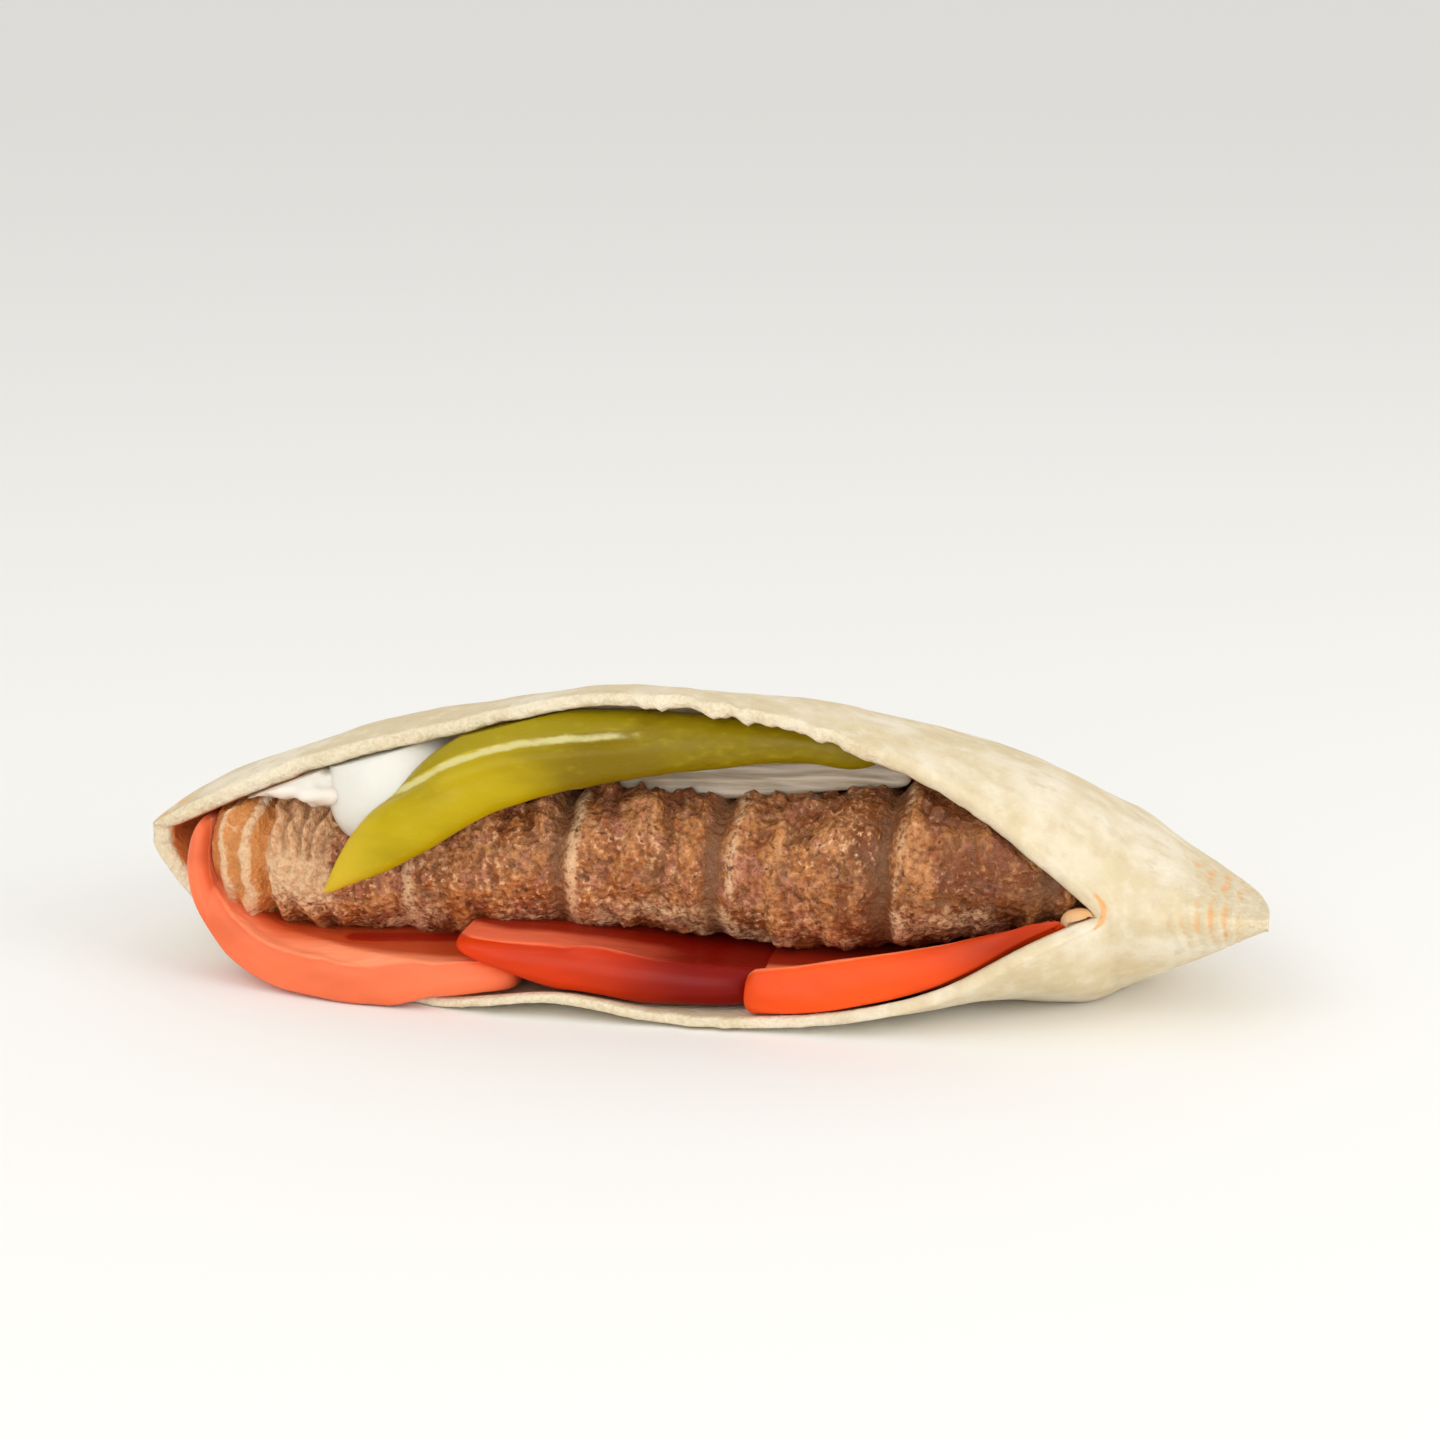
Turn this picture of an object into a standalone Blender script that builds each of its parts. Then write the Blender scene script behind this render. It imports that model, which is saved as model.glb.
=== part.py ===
"""Half a pita pocket with a grilled minced-meat kebab, tomato slices, a pickled pepper, onion and sauce.

The pocket lies on its belly with its cut mouth towards -Y. X runs along the mouth, from the end where the
lips open widest to the end that stays shut, and Z is up. Sizes are in millimetres and are measured in the
mouth's own coordinates; solid() moves them so that the origin is under the middle of the sandwich.
Station lists hold (X, value) pairs that along() joins into a smooth curve.
"""
import bpy
import numpy as np

MM = 0.001
MIDDLE = np.array([-3.5, 36.0, 0.0])
GAP = 0.45
REACH = 1.9

# Bread: outer and inner skin, each between a left tip, a right tip and the corner where the mouth ends
OUTER_TIPS, OUTER_CORNER = (-101.5, 94.5), 69.0
INNER_TIPS, INNER_CORNER = (-97.5, 86.0), 66.0
MOUTH_Y, DEPTH, BELLY = 8.0, 76.0, 11.0
TOP_WALL, LOW_WALL, RIM_WALL, END_WALL = 2.6, 2.0, 12.0, 2.4
SWELL_START = 40.0
LEFT_TIP_Z, RIGHT_TIP_Z, CORNER_Z = 23.5, 19.6, 20.5
TOP_LIP_BACK, LIP_BACK_POWER, LIP_WALL_POWER = 5.0, 0.7, 6
SHUT_BACK, SHUT_BACK_RUN = 5.0, 8.0
RIM_DROP, CLOSING = 6.0, 30.0
RISE, SHUT_RISE, FALL = 1.0, 0.4, 0.62
DIP_RISE, DIP_FALL = 3.0, 1.5
TOP_LIP = [(-97.5, 24.3), (-72, 36.2), (-46, 44.5), (-14, 51.9), (20, 47.4), (40, 40), (57, 28),
           (66, 20.8)]
LOW_LIP = [(-97.5, 21.5), (-90, 11.5), (-82, 5.4), (-64, 2.1), (-42, 2.1), (-24, 4.6), (-3, 2.5),
           (26, 4.6), (42, 9), (57, 17), (66, 20.3)]
LOW_REACH = [(-97.5, 0), (-94, -2), (-90, -4.2), (-80, -4), (-70, -1.5), (-62, 1), (-50, 5), (-36, 8),
             (-20, 8), (10, 7.9), (40, 6.9), (57, 4.3), (66, 0)]
SLICE_REACH = [(-97.5, 0), (-94, 0.5), (-90, 1.5), (-80, 4.4), (-70, 6.6), (-62, 8), (-45, 9.2), (-20, 8),
               (10, 7.9), (40, 6.9), (57, 4.3), (66, 0)]
ROOF = [(-101.5, 23.8), (-88, 31.9), (-75, 35), (-55, 39.6), (-32, 40), (-10, 40), (8, 41.6), (25, 42.2),
        (40, 41.8), (54, 39), (64, 36.2), (72, 31.6), (80, 25), (88, 20.2), (94.5, 18.5)]
DIP = [(-101.5, 0), (-70, 7), (-20, 9), (20, 8), (50, 5), (75, 1.5), (94.5, 0)]
KEEL = [(-101.5, 23.5), (-90, 12), (-75, 5), (-50, 0), (25, 0), (45, -1), (58, -2), (66, -1.5), (73, 2),
        (80, 6.6), (88, 12), (94.5, 17)]
OPEN_COLUMNS, SHUT_COLUMNS, TOP_ROWS, LOW_ROWS = 34, 12, 13, 12

# Kebab: height of its axis and radius along X, its rounded ends, and the pinches left by the shaping hand
KEBAB_ENDS, KEBAB_ROUNDS = (-89.5, 65.2), (8.0, 5.0)
KEBAB_Y = [(-89.5, 8.5), (-60, 12), (0, 13), (40, 12.2), (56, 10.8), (65.2, 9.6)]
KEBAB_Z = [(-89.5, 22), (-70, 19.8), (-45, 20), (-27, 21.8), (-14, 22.8), (15, 21.8), (32, 24),
           (50, 26.3), (65.2, 24.5)]
KEBAB_R = [(-89.5, 12), (-72, 12.2), (-42, 13), (-14, 12.6), (15, 13.3), (41, 14), (51, 12.2),
           (58, 10), (65.2, 6.8)]
PINCHES = [-53.4, -24.2, 3.0, 32.0, 60.0]
PINCH_DEPTH, PINCH_WIDTH, PINCH_SWAY = 1.7, 2.4, 0.8
# Each crag wave: its height, then waves per millimetre along X, waves around and start angle
CRAG_WAVES = [(0.22, 0.97, -2, 1.0), (-0.22, 0.27, 8, -1.0), (0.32, 1.05, -4, 2.0)]
KEBAB_COLUMNS, KEBAB_AROUND = 62, 23

# Tomato slices: (share, X, Z, thickness) of the middle plane, how far the front edge stands before its line,
# depth to the back, how blunt the ends are and how far the edge droops where it overhangs the bread
SLICES = {
    "tomato_left": dict(
        path=[(0, -90, 27, 3), (0.12, -90.6, 19, 4), (0.26, -87.3, 10.6, 4.6), (0.42, -77.4, 5.2, 4.6),
              (1, -31, 4.8, 4.4)],
        ahead=(5.2, 0.8), depth=44.0, blunt=3.0, droop=1.9),
    "tomato_middle": dict(
        path=[(0, -41.5, 11.2, 2.6), (0.16, -34, 9.8, 4.6), (0.28, -27, 8.6, 6.8), (0.45, -17, 7.2, 8),
              (0.75, -1, 6.2, 7.2), (1, 12.4, 5.8, 6.2)],
        ahead=(0.4, 0.4), depth=42.0, blunt=3.2, droop=0.0),
    "tomato_right": dict(
        path=[(0, 8.6, 5.6, 6.4), (0.5, 37, 5.6, 6.2), (1, 62.8, 5.4, 4.2)],
        ahead=(-0.6, -0.6), depth=40.0, blunt=3.0, droop=0.0),
}
TIP_SHARE, SHALLOW, SKIN_ROUND = 0.15, 9.0, 2.8
DROOP_START, DROOP_RUN, DROOP_LEFT = 2.4, 2.6, (-92.0, -84.0)
END_THINNING, END_THINNING_POWER = 1.6, 0.5
SLICE_COLUMNS = 21
SLICE_ROWS = np.array([0, 0.012, 0.04, 0.09, 0.2, 0.32, 0.44, 0.58, 0.72, 0.86, 0.96, 1])

# Pepper: X, Y and Z of its middle, half its height and half its thickness, and its lean back in degrees
PEPPER_Y = [(-66, -4.6), (-61.5, -4.3), (-55, -3.6), (-47, -2), (-38, 0), (-27, 2), (-18, 3.2), (0, 5.5),
            (16, 8), (31, 10)]
PEPPER_Z = [(-66, 17.6), (-61.5, 22.8), (-55, 28.4), (-47, 34.4), (-38, 39.8), (-27, 43), (-18, 44.4),
            (0, 45.4), (16, 45.4), (31, 43.6)]
PEPPER_H = [(-66, 0), (-64, 2.2), (-61.5, 3.9), (-55, 6.4), (-47, 8.4), (-38, 8.3), (-27, 7.6), (-18, 6.7),
            (0, 4.7), (16, 3.4), (27, 2.6), (31, 0)]
PEPPER_T = [(-66, 0), (-64, 1.5), (-61.5, 2.2), (-55, 3.2), (-47, 4.2), (-38, 4.6), (-18, 4.6), (0, 4),
            (16, 3.2), (27, 2.4), (31, 0)]
PEPPER_LEAN = [(-66, 4), (-47, 18), (-18, 26), (31, 30)]
RIDGE, RIDGE_ANGLE, RIDGE_WIDTH, GROOVE_ANGLE = 0.084, 2.2, 0.3, 1.55
PEPPER_COLUMNS, PEPPER_AROUND = 30, 14

# Onion: a bent strip standing on the kebab behind the pepper
ONION_ENDS = (-18.0, 31.0)
ONION_Y = [(-18, 13.4), (5, 14.4), (31, 14.6)]
ONION_Z = [(-18, 36.8), (5, 38.6), (31, 41)]
ONION_HALF_HEIGHT, ONION_HALF_THICKNESS, ONION_LEAN, ONION_BLUNT = 5.0, 1.5, 20.0, 3
ONION_COLUMNS, ONION_AROUND = 18, 10

# Sauce: a blob between the top lip, the kebab and the pepper
SAUCE_MIDDLE = (-55.6, 13.0, 33.0)
SAUCE_HALF = (12.4, 15.0, 12.4)
SAUCE_UNEVEN, SAUCE_BLUNT = 0.05, 0.6
SAUCE_COLUMNS, SAUCE_AROUND = 15, 18


def along(stations, place):
    """Smooth curve through the (place, value) stations, read at the given places."""
    xs, vs = np.array(stations, float).T
    slopes = np.gradient(vs, xs)
    place = np.clip(np.asarray(place, float), xs[0], xs[-1])
    i = np.clip(np.searchsorted(xs, place) - 1, 0, len(xs) - 2)
    h = xs[i + 1] - xs[i]
    t = (place - xs[i]) / h
    return ((2 * t**3 - 3 * t**2 + 1) * vs[i] + (t**3 - 2 * t**2 + t) * h * slopes[i]
            + (3 * t**2 - 2 * t**3) * vs[i + 1] + (t**3 - t**2) * h * slopes[i + 1])


def crest(v, a, b):
    """One hump of height 1 over v from 0 to 1, steeper at the side with the smaller power."""
    peak = a / (a + b)
    return v**a * (1 - v)**b / (peak**a * (1 - peak)**b)


def rounded(v):
    """Quarter-circle rise from 0 at v = 0 to 1 at v = 1, and 1 beyond."""
    return np.sqrt(1 - (1 - np.clip(v, 0, 1))**2)


def around(count):
    """Angles of one loop, as a row."""
    return np.linspace(0, 2 * np.pi, count + 1)[None, :-1]


def bread_lines(x, inner):
    """Front and back lines of a bread skin at x: lips or shut front edge, back rim, and how domed it is."""
    (left, right), corner = (INNER_TIPS, INNER_CORNER) if inner else (OUTER_TIPS, OUTER_CORNER)
    s = np.sqrt(np.clip(1 - ((2 * x - left - right) / (right - left))**2, 0, 1))
    p = np.clip((x - left) / (corner - left), 0, 1)
    past = np.clip((x - corner) / (right - corner), 0, 1)
    alike = np.where(p < 1, OUTER_TIPS[0] + p * (OUTER_CORNER - OUTER_TIPS[0]),
                     OUTER_CORNER + past * (OUTER_TIPS[1] - OUTER_CORNER))
    s_alike = np.sqrt(np.clip(1 - ((2 * alike - sum(OUTER_TIPS)) / (OUTER_TIPS[1] - OUTER_TIPS[0]))**2, 0, 1))
    on_lip = INNER_TIPS[0] + p * (INNER_CORNER - INNER_TIPS[0])
    parted = np.sin(np.pi * p)**LIP_BACK_POWER
    full = np.sqrt(1 - np.abs(2 * p - 1)**LIP_WALL_POWER)
    shut_z = np.interp(alike, [OUTER_CORNER, OUTER_TIPS[1]], [CORNER_Z, RIGHT_TIP_Z])
    shut = np.clip((x - corner + CLOSING) / CLOSING, 0, 1)
    shut = shut**2 * (3 - 2 * shut)
    rise = RISE - SHUT_RISE * shut
    peak = rise / (rise + FALL)
    tip = p <= 0
    lips = {}
    for side, lip, wall in (("top", TOP_LIP, TOP_WALL), ("low", LOW_LIP, -LOW_WALL)):
        for skin, share in (("own", not inner), ("outer", 1)):
            z = np.where(p < 1, np.maximum(along(lip, on_lip) + wall * share * full, 0), shut_z)
            lips[side, skin] = np.where(tip, LEFT_TIP_Z, z)
    rim_alike = np.interp(alike, OUTER_TIPS, [LEFT_TIP_Z, RIGHT_TIP_Z]) - RIM_DROP * s_alike
    swell = np.interp(x, [SWELL_START, corner, right], [0, END_WALL, 0]) * inner
    over = along(ROOF, alike) - (1 - peak) * lips["top", "outer"] - peak * rim_alike
    under = (1 - peak) * lips["low", "outer"] + peak * rim_alike - along(KEEL, alike)
    set_back = SHUT_BACK * np.clip((x - corner) / SHUT_BACK_RUN, 0, 1) if inner else 0
    front = MOUTH_Y - BELLY * s + set_back
    return dict(
        top_y=front + TOP_LIP_BACK * parted, top_z=lips["top", "own"],
        low_y=front - along(LOW_REACH, on_lip) * (p < 1), low_z=lips["low", "own"],
        slice_y=front - along(SLICE_REACH, on_lip) * (p < 1),
        rim_y=MOUTH_Y + (DEPTH - RIM_WALL * inner) * s,
        rim_z=np.interp(x, OUTER_TIPS, [LEFT_TIP_Z, RIGHT_TIP_Z]) - RIM_DROP * s,
        bulge=np.maximum(over - swell, 0), sag=np.maximum(under - swell, 0), rise=rise, dip=along(DIP, alike))


def bread_height(x, v, side, inner):
    """Height of the top or low skin at x, a share v of the way from its front edge back to the rim."""
    g = bread_lines(x, inner)
    if side == "low":
        z = g["low_z"] + (g["rim_z"] - g["low_z"]) * v - g["sag"] * crest(v, g["rise"], FALL)
        return np.maximum(z, LOW_WALL if inner else 0)
    z = g["top_z"] + (g["rim_z"] - g["top_z"]) * v + g["bulge"] * crest(v, g["rise"], FALL)
    return z - g["dip"] * crest(v, DIP_RISE, DIP_FALL)


def inner_height(x, y, side):
    """Height of the bread's inner top or low skin over x, y."""
    g = bread_lines(x, True)
    front = g[side + "_y"]
    return bread_height(x, np.clip((y - front) / (g["rim_y"] - front), 0, 1), side, True)


def floor_near(x, y):
    """Highest point of the bread's inner floor within REACH of x, y."""
    steps = (-REACH, 0, REACH)
    return np.max([inner_height(x + dx, y + dy, "low") for dx in steps for dy in steps], 0)


def kept_inside(x, y, z, grow=0.0):
    """The heights z, moved where needed so that they clear the bread above and below."""
    clear = 2 * GAP - grow
    return np.clip(z, floor_near(x, y) + clear, inner_height(x, y, "top") - clear)


def bread_skin(inner):
    """Grid of points, a column for each x and rows from the top lip over the rim to the low lip."""
    (left, right), corner = (INNER_TIPS, INNER_CORNER) if inner else (OUTER_TIPS, OUTER_CORNER)
    middle, half = (left + right) / 2, (right - left) / 2
    at_corner = np.arccos((middle - corner) / half)
    turn = np.concatenate([np.linspace(0, at_corner, OPEN_COLUMNS + 1),
                           np.linspace(at_corner, np.pi, SHUT_COLUMNS + 1)[1:]])
    x = (middle - half * np.cos(turn))[:, None]
    g = bread_lines(x, inner)

    def half_loop(rows, side):
        v = eased((0, 1), rows + 1)[None, :] + 0 * x
        front = g[side + "_y"]
        return front + (g["rim_y"] - front) * v, bread_height(x, v, side, inner)

    (top_y, top_z), (low_y, low_z) = half_loop(TOP_ROWS, "top"), half_loop(LOW_ROWS, "low")
    y = np.concatenate([top_y, low_y[:, -2::-1]], 1)
    z = np.concatenate([top_z, low_z[:, -2::-1]], 1)
    y[OPEN_COLUMNS, [0, -1]] = y[OPEN_COLUMNS, [0, -1]].mean()
    z[OPEN_COLUMNS, [0, -1]] = z[OPEN_COLUMNS, [0, -1]].mean()
    return np.stack([np.broadcast_to(x, y.shape), y, z], -1)


def bread_numbers(first):
    """Vertex numbers of a skin's grid: tips are one point, and the lips are one line from the corner on."""
    columns, rows = OPEN_COLUMNS + SHUT_COLUMNS + 1, TOP_ROWS + LOW_ROWS + 1
    numbers = first + np.arange(columns * rows).reshape(columns, rows)
    numbers[0, :] = numbers[0, 0]
    numbers[-1, :] = numbers[-1, 0]
    numbers[OPEN_COLUMNS:, -1] = numbers[OPEN_COLUMNS:, 0]
    return numbers


def net(numbers, flip=False):
    """Triangles of a grid of vertex numbers, every square split along the same diagonal."""
    a, b, c, d = numbers[:-1, :-1], numbers[:-1, 1:], numbers[1:, 1:], numbers[1:, :-1]
    faces = np.concatenate([np.stack([a, b, c], -1).reshape(-1, 3), np.stack([a, c, d], -1).reshape(-1, 3)])
    return faces[:, ::-1] if flip else faces


def material(name, colour, roughness):
    """Principled material with one colour."""
    made = bpy.data.materials.new(name)
    made.use_nodes = True
    shader = made.node_tree.nodes["Principled BSDF"]
    shader.inputs["Base Color"].default_value = (*colour, 1.0)
    shader.inputs["Roughness"].default_value = roughness
    shader.inputs["Metallic"].default_value = 0.0
    return made


def solid(name, points, faces, finish=None):
    """Object of the points and triangles; triangles that shrank to an edge and unused points are dropped."""
    a, b, c = faces.T
    used, faces = np.unique(faces[(a != b) & (b != c) & (c != a)], return_inverse=True)
    mesh = bpy.data.meshes.new(name)
    mesh.from_pydata(((points[used] - MIDDLE) * MM).tolist(), [], faces.reshape(-1, 3).tolist())
    mesh.shade_smooth()
    made = bpy.data.objects.new(name, mesh)
    bpy.context.scene.collection.objects.link(made)
    if finish is None:
        made.hide_render = True
        made.display_type = "WIRE"
    else:
        mesh.materials.append(finish)
    return made


def sleeve(name, loops, finish=None):
    """Closed solid of loops [column, around, xyz] whose first and last loop have shrunk to a point."""
    columns, count = loops.shape[:2]
    numbers = np.arange(columns * count).reshape(columns, count)
    numbers[0, :] = 0
    numbers[-1, :] = numbers[-1, 0]
    return solid(name, loops.reshape(-1, 3), net(np.concatenate([numbers, numbers[:, :1]], 1)), finish)


def cut(piece, cutter):
    """Boolean that takes the cutter away from the piece."""
    step = piece.modifiers.new(cutter.name, "BOOLEAN")
    step.operation = "DIFFERENCE"
    step.solver = "MANIFOLD"
    step.object = cutter


def eased(ends, count):
    """Places between two ends, closer together near both."""
    return (ends[0] + ends[1]) / 2 - (ends[1] - ends[0]) / 2 * np.cos(np.linspace(0, np.pi, count))


def bread(finish):
    """Pocket: outer skin, inner skin and the two cut faces along the lips."""
    outer, inner = bread_skin(False), bread_skin(True)
    on_outer = bread_numbers(0)
    on_inner = bread_numbers(on_outer.size)
    faces = [net(on_outer, flip=True), net(on_inner)]
    for row, flip in ((0, False), (-1, True)):
        strip = np.stack([on_outer[:OPEN_COLUMNS + 1, row], on_inner[:OPEN_COLUMNS + 1, row]], 1)
        faces.append(net(strip, flip))
    points = np.concatenate([outer.reshape(-1, 3), inner.reshape(-1, 3)])
    return solid("pita", points, np.concatenate(faces), finish)


def kebab(name, finish=None, grow=0.0):
    """Round kebab along X: pinched, uneven in girth, with a coarse crumbly surface."""
    x = eased(KEBAB_ENDS, KEBAB_COLUMNS)[:, None]
    turn = around(KEBAB_AROUND)
    ends = rounded((x - KEBAB_ENDS[0]) / KEBAB_ROUNDS[0]) * rounded((KEBAB_ENDS[1] - x) / KEBAB_ROUNDS[1])
    pinch = sum(np.exp(-((x - at - PINCH_SWAY * np.sin(turn + at)) / PINCH_WIDTH)**2) for at in PINCHES)
    crag = sum(height * np.cos(per_mm * x + waves * turn + start) for height, per_mm, waves, start in CRAG_WAVES)
    radius = (along(KEBAB_R, x) - PINCH_DEPTH * pinch + crag) * ends + grow
    radius[[0, -1]] = 0
    reach = x + grow * (2 * x - sum(KEBAB_ENDS)) / (KEBAB_ENDS[1] - KEBAB_ENDS[0])
    y = along(KEBAB_Y, x) + radius * np.cos(turn)
    z = kept_inside(x, y, along(KEBAB_Z, x) + radius * np.sin(turn), grow)
    return sleeve(name, np.stack([np.broadcast_to(reach, y.shape), y, z], -1), finish)


def tomato(name, size, finish=None, grow=0.0):
    """Slice carried along its path in X and Z: skin edge at the lip, rounded rim, ends drawn in to a point."""
    shares, xs, zs, thicks = zip(*size["path"])
    run = eased((0, 1), SLICE_COLUMNS)[:, None]
    x, z, thick = (along(list(zip(shares, values)), run) for values in (xs, zs, thicks))
    slope_x, slope_z = np.gradient(x, axis=0), np.gradient(z, axis=0)
    steep = np.hypot(slope_x, slope_z)
    longer = grow * (2 * run - 1) / steep
    x, z = x + longer * slope_x, z + longer * slope_z
    wide = np.clip(1 - np.abs(2 * run - 1)**size["blunt"], 0, 1)**(1 / size["blunt"])
    pocket = bread_lines(x, True)
    base = pocket["slice_y"] - np.interp(run, [0, 1], size["ahead"])
    front = base + TIP_SHARE * size["depth"] * (1 - wide) - grow
    back = base + size["depth"] * (TIP_SHARE + (1 - TIP_SHARE) * wide)
    back = np.minimum(back, pocket["rim_y"] - SHALLOW) + grow
    y = front + (back - front) * SLICE_ROWS
    edge = rounded(np.minimum(y - front, back - y) / SKIN_ROUND)
    half = edge * thick / 2 * np.minimum(1, END_THINNING * wide)**END_THINNING_POWER + grow
    over_x, over_z = -slope_z / steep * half, slope_x / steep * half
    lift = np.maximum(0, floor_near(x - over_x, y) + GAP - (z - over_z))
    back_over = slice(-2, 0, -1)
    loop_x = np.concatenate([x - over_x, (x + over_x)[:, back_over]], 1)
    loop_y = np.concatenate([y, y[:, back_over]], 1)
    loop_z = np.concatenate([z - over_z + lift, (z + over_z + lift)[:, back_over]], 1)
    loop_z = np.minimum(loop_z, inner_height(loop_x, loop_y, "top") - GAP)
    overhang = np.clip((bread_lines(loop_x, False)["low_y"] - DROOP_START - loop_y) / DROOP_RUN, 0, 1)
    loop_z = loop_z - size["droop"] * overhang * np.interp(loop_x, DROOP_LEFT, [0, 1])
    loops = np.stack([loop_x, loop_y, loop_z], -1)
    loops[[0, -1]] = loops[[0, -1]].mean(1, keepdims=True)
    return sleeve(name, loops, finish)


def leaning(x, y, z, half_height, half_thickness, lean, turn):
    """Oval loops at x, y, z, half_height tall and leaning back by the angle in degrees."""
    up, across = half_height * np.sin(turn), half_thickness * np.cos(turn)
    c, s = np.cos(np.radians(lean)), np.sin(np.radians(lean))
    return np.stack([np.broadcast_to(x, up.shape), y + across * c + up * s, z + up * c - across * s], -1)


def pepper(name, finish=None, grow=0.0):
    """Long pepper, flattened, with a folded ridge along its upper front."""
    x = eased((PEPPER_Y[0][0], PEPPER_Y[-1][0]), PEPPER_COLUMNS)[:, None]
    turn = around(PEPPER_AROUND)
    height, thick = along(PEPPER_H, x), along(PEPPER_T, x)
    height[[0, -1]], thick[[0, -1]] = 0, 0
    ridge = np.exp(-((turn - RIDGE_ANGLE) / RIDGE_WIDTH)**2)
    groove = np.exp(-((turn - GROOVE_ANGLE) / RIDGE_WIDTH)**2)
    fold = 1 + RIDGE * (ridge - groove)
    some = (height > 0) * grow
    loops = leaning(x, along(PEPPER_Y, x), along(PEPPER_Z, x), height * fold + some, thick * fold + some,
                    along(PEPPER_LEAN, x), turn)
    loops[..., 2] = kept_inside(*np.moveaxis(loops, -1, 0), grow)
    return sleeve(name, loops, finish)


def onion(name, finish):
    """Bent strip of raw onion standing on the kebab."""
    x = eased(ONION_ENDS, ONION_COLUMNS)[:, None]
    run = (x - ONION_ENDS[0]) / (ONION_ENDS[1] - ONION_ENDS[0])
    size = np.clip(1 - np.abs(2 * run - 1)**ONION_BLUNT, 0, 1)**(1 / ONION_BLUNT)
    loops = leaning(x, along(ONION_Y, x), along(ONION_Z, x), ONION_HALF_HEIGHT * size,
                    ONION_HALF_THICKNESS * size, ONION_LEAN, around(ONION_AROUND))
    return sleeve(name, loops, finish)


def sauce(name, finish):
    """Blob of sauce, an uneven ellipsoid kept under the bread's top skin."""
    polar = np.linspace(0, np.pi, SAUCE_COLUMNS)[:, None]
    turn = around(SAUCE_AROUND)
    girth = np.clip(np.sin(polar), 0, 1)**SAUCE_BLUNT * (1 + SAUCE_UNEVEN * np.sin(3 * turn + 2 * polar) * np.sin(polar))
    x = SAUCE_MIDDLE[0] - SAUCE_HALF[0] * np.cos(polar) + 0 * turn
    y = SAUCE_MIDDLE[1] + SAUCE_HALF[1] * girth * np.cos(turn)
    z = kept_inside(x, y, SAUCE_MIDDLE[2] + SAUCE_HALF[2] * girth * np.sin(turn))
    return sleeve(name, np.stack([x, y, z], -1), finish)


def build():
    """Make every piece, and cut each by the ones it lies against, with a small gap."""
    for old in list(bpy.data.objects):
        bpy.data.objects.remove(old)
    bread(material("baked bread", (0.80, 0.66, 0.44), 0.85))
    meat = kebab("kebab", material("grilled meat", (0.33, 0.15, 0.07), 0.55))
    flesh = (0.60, 0.11, 0.05)
    slices = {name: tomato(name, size, material(name, flesh, 0.3)) for name, size in SLICES.items()}
    cutters = {name: tomato("around_" + name, size, None, GAP) for name, size in SLICES.items()}
    around_kebab = kebab("around_kebab", None, GAP)
    green = pepper("pepper", material("pickled pepper", (0.40, 0.33, 0.03), 0.25))
    around_pepper = pepper("around_pepper", None, GAP)
    strip = onion("onion", material("raw onion", (0.55, 0.45, 0.32), 0.4))
    white = sauce("sauce", material("white sauce", (0.88, 0.88, 0.80), 0.3))
    for side in ("tomato_left", "tomato_right"):
        cut(slices["tomato_middle"], cutters[side])
    for cutter in cutters.values():
        cut(meat, cutter)
    for piece in (green, strip, white):
        cut(piece, around_kebab)
    for piece in (strip, white):
        cut(piece, around_pepper)


build()
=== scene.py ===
"""Half a pita pocket with a grilled minced-meat kebab, tomato slices, a pickled pepper, onion and sauce.

Every shape is a surface worked out on a grid in millimetres, in the mouth's own coordinates: X runs along
the cut mouth, +Y goes into the pocket and Z is up. surface() moves them into the row frame. Station lists
hold (X, value) pairs that along() joins into a smooth curve. Where a value says that something is seen, it
is in pixels of the view, across and down.
"""

import bpy
import numpy as np
from mathutils import Matrix, Vector


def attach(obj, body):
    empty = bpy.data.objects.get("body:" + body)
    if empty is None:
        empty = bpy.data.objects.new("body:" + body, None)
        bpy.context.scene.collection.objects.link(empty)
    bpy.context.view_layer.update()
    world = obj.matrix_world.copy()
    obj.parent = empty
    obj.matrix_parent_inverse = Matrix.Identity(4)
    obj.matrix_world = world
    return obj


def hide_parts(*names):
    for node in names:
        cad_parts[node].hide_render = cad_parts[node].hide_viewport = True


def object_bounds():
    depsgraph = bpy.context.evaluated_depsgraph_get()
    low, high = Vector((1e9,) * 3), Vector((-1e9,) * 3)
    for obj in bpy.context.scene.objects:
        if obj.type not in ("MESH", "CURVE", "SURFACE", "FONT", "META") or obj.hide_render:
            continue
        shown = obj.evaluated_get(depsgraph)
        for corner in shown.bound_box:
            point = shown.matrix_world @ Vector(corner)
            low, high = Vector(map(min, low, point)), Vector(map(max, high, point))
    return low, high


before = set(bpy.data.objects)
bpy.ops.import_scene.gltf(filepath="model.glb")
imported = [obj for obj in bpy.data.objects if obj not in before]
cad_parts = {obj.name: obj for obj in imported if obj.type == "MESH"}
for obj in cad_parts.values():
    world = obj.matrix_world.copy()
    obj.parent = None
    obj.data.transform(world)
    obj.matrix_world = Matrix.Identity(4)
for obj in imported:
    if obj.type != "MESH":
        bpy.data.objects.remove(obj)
CAD_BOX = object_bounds()

MM = 0.001
MIDDLE = np.array([-3.5, 36.0, 0.0])

# How far every piece stays inside the CAD box
INSET = 0.02

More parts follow.
